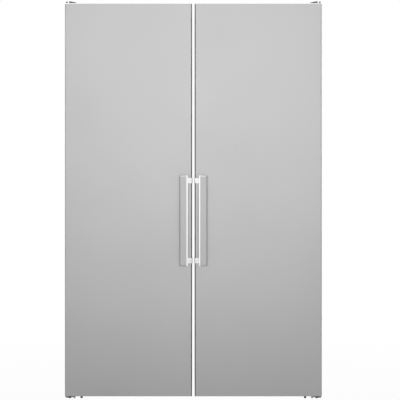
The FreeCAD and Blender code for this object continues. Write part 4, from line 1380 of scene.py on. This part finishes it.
@dataclass
class Display:
    """The dark window of a control panel, with its lit figures."""

    width: float = 69.4 * MM
    height: float = 11.4 * MM
    corner: float = 2.8 * MM
    recess: float = 0.8 * MM
    pane: float = 0.5 * MM
    button_proud: float = 2.5 * MM
    digit_width: float = 4.0 * MM
    digit_height: float = 7.4 * MM
    digit_pitch: float = 6.2 * MM
    stroke: float = 0.9 * MM
    stroke_corner: float = 0.27 * MM
    relief: float = 0.06 * MM

    def build(self, side: Side, figures: str) -> None:
        """Makes the window and the figures of one panel.

        Args:
            side: The unit.
            figures: Digits and minus signs.
        """
        low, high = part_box(side.node("button"))
        shell_low, shell_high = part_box(side.node("outer_shell"))
        x = shell_low.x + shell_high.x - (low.x + high.x) / 2
        floor = low.y + self.button_proud + self.recess
        z = (low.z + high.z) / 2
        window = Skin()
        outline = rounded(self.width, self.height, self.corner)
        window.plate((x, floor, z), outline, [(0.0, 1.0), (-self.pane, 1.0)])
        add_piece(window.mesh(side.node("display_window")), FIXED, DARK_PANE)
        digits = Skin()
        for n, figure in enumerate(figures):
            across = x + (n - (len(figures) - 1) / 2) * self.digit_pitch
            for a, b, wide, tall in self.strokes(figure):
                stroke = rounded(wide, tall, self.stroke_corner, steps=2)
                face = floor - self.pane
                digits.plate((across + a, face, z + b), stroke, [(0.0, 1.0), (-self.relief, 1.0)])
        add_piece(digits.mesh(side.node("display_figures")), FIXED, LIT_SEGMENT)

    def strokes(self, figure: str) -> list[tuple[float, float, float, float]]:
        """The bars of a seven-bar figure.

        Args:
            figure: A digit or a minus sign.

        Returns:
            For each bar its middle across and up, and its two sizes.
        """
        lit = {"-": "g", "1": "bc", "4": "bcfg", "8": "abcdefg"}[figure]
        level, rise = self.digit_width - self.stroke, self.digit_height / 2 - self.stroke
        side, up = level / 2, rise / 2 + self.stroke / 2
        bars = {
            "a": (0.0, 2 * up, level, self.stroke),
            "b": (side, up, self.stroke, rise),
            "c": (side, -up, self.stroke, rise),
            "d": (0.0, -2 * up, level, self.stroke),
            "e": (-side, -up, self.stroke, rise),
            "f": (-side, up, self.stroke, rise),
            "g": (0.0, 0.0, level, self.stroke),
        }
        return [bars[name] for name in lit]


# Studio


@dataclass(frozen=True)
class SoftBox:
    """One rectangular lamp."""

    name: str
    power: float
    size: Flat
    place: Point
    aim: Point
    spread: float = math.pi

    def build(self) -> None:
        """Hangs the lamp."""
        data = bpy.data.lights.new(self.name, "AREA")
        data.shape = "RECTANGLE"
        data.size, data.size_y = self.size
        data.energy = self.power
        data.spread = self.spread
        lamp = bpy.data.objects.new(self.name, data)
        lamp.location = self.place
        way = Vector(self.aim) - Vector(self.place)
        lamp.rotation_euler = way.to_track_quat("-Z", "Y").to_euler()
        bpy.context.collection.objects.link(lamp)


@dataclass
class Studio:
    """Floor, light and camera."""

    frame_pixels: float = 400.0
    door_pixels: float = 127.15
    gap_pixel: float = 193.35
    view_distance: float = 6.8
    sensor: float = 36.0
    floor_size: float = 40.0
    floor_paint: float = 0.9
    floor_white: float = 0.965
    floor_near: float = 1.2
    floor_far: float = 3.5
    ambient: float = 0.08
    lamps: tuple[SoftBox, ...] = (
        SoftBox("key_lamp", 69.0, (1.6, 0.5), (0.0, -5.5, 0.86), (0.0, -0.3, 3.7), math.radians(95)),
        SoftBox("left_lamp", 85.0, (2.0, 2.0), (-4.0, 3.5, 1.9), (-0.6, 0.1, 0.9)),
        SoftBox("right_lamp", 85.0, (2.0, 2.0), (4.0, 3.5, 1.9), (0.6, 0.1, 0.9)),
        SoftBox("rear_lamp", 42.0, (3.0, 2.0), (0.0, 4.2, 2.6), (0.0, 0.3, 1.0)),
        SoftBox("top_lamp", 22.0, (2.0, 1.2), (0.0, 0.6, 4.2), (0.0, 0.2, 1.8)),
    )

    def build(self) -> None:
        """Makes the whole studio."""
        self.floor()
        self.world()
        for lamp in self.lamps:
            lamp.build()
        self.camera()
        bpy.context.scene.view_settings.view_transform = "Standard"

    @staticmethod
    def seen_rays(kit: NodeKit) -> Signal:
        """How much a ray counts as seeing the background.


        Returns:
            1 for camera, glossy and transmission rays, else 0.
        """
        kinds = ("Camera", "Glossy", "Transmission")
        rays = [kit.add("ShaderNodeLightPath", out=f"Is {kind} Ray") for kind in kinds]
        return rays[0] | rays[1] | rays[2]

    def floor(self) -> None:
        """A pale floor that keeps a soft shadow and turns white further away."""
        half = self.floor_size / 2
        mesh = bpy.data.meshes.new("floor")
        corners = [(-half, -half, 0.0), (half, -half, 0.0), (half, half, 0.0), (-half, half, 0.0)]
        mesh.from_pydata(corners, [], [(0, 1, 2, 3)])
        floor = bpy.data.objects.new("floor", mesh)
        bpy.context.collection.objects.link(floor)
        material = bpy.data.materials.new("pale_floor")
        material.use_nodes = True
        kit = NodeKit(material.node_tree)
        colour = (self.floor_paint, self.floor_paint, self.floor_paint, 1.0)
        paint = kit.add("ShaderNodeBsdfDiffuse", inputs={"Color": colour})
        white = kit.add("ShaderNodeEmission", inputs={"Color": WHITE_LIGHT, "Strength": 1.0})
        away = kit.add("ShaderNodeVectorMath", {"operation": "LENGTH"}, {0: kit.place()}, "Value")
        fade = kit.ramp(away, self.floor_near, self.floor_far)
        share = self.seen_rays(kit) * (self.floor_white + fade * (1.0 - self.floor_white))
        mixed = kit.add("ShaderNodeMixShader", inputs={0: share, 1: paint, 2: white})
        kit.add("ShaderNodeOutputMaterial", inputs={"Surface": mixed})
        mesh.materials.append(material)

    def world(self) -> None:
        """An even pale surround, white where it is seen."""
        world = bpy.data.worlds.new("studio")
        world.use_nodes = True
        bpy.context.scene.world = world
        kit = NodeKit(world.node_tree)
        strength = self.seen_rays(kit) * (1.0 - self.ambient) + self.ambient
        inputs = {"Color": WHITE_LIGHT, "Strength": strength}
        light = kit.add("ShaderNodeBackground", inputs=inputs)
        kit.add("ShaderNodeOutputWorld", inputs={"Surface": light})

    def camera(self) -> None:
        """The photograph's view: square on to the doors at half their height."""
        low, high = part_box(Side.FREEZER.node("door_skin"))
        frame_width = (high.x - low.x) * self.frame_pixels / self.door_pixels
        data = bpy.data.cameras.new("camera")
        data.sensor_width = self.sensor
        data.lens = self.sensor * self.view_distance / frame_width
        data.shift_x = 0.5 - self.gap_pixel / self.frame_pixels
        camera = bpy.data.objects.new("camera", data)
        camera.location = (0.0, low.y - self.view_distance, (low.z + high.z) / 2)
        camera.rotation_euler = (math.pi / 2, 0.0, 0.0)
        bpy.context.collection.objects.link(camera)
        bpy.context.scene.camera = camera


def main() -> None:
    """Loads the frame, dresses it, adds the fittings and sets up the studio."""
    logging.basicConfig(level=logging.INFO, format="%(message)s")
    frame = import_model()
    dress_nodes(frame)
    Fixings().build(frame)
    HingeFittings().build()
    for side in Side:
        Gasket().build(side)
    RackTrims().build()
    GripFrames().build()
    Display().build(Side.FREEZER, "-18")
    Display().build(Side.FRIDGE, "4")
    Studio().build()


if __name__ == "__main__":
    main()
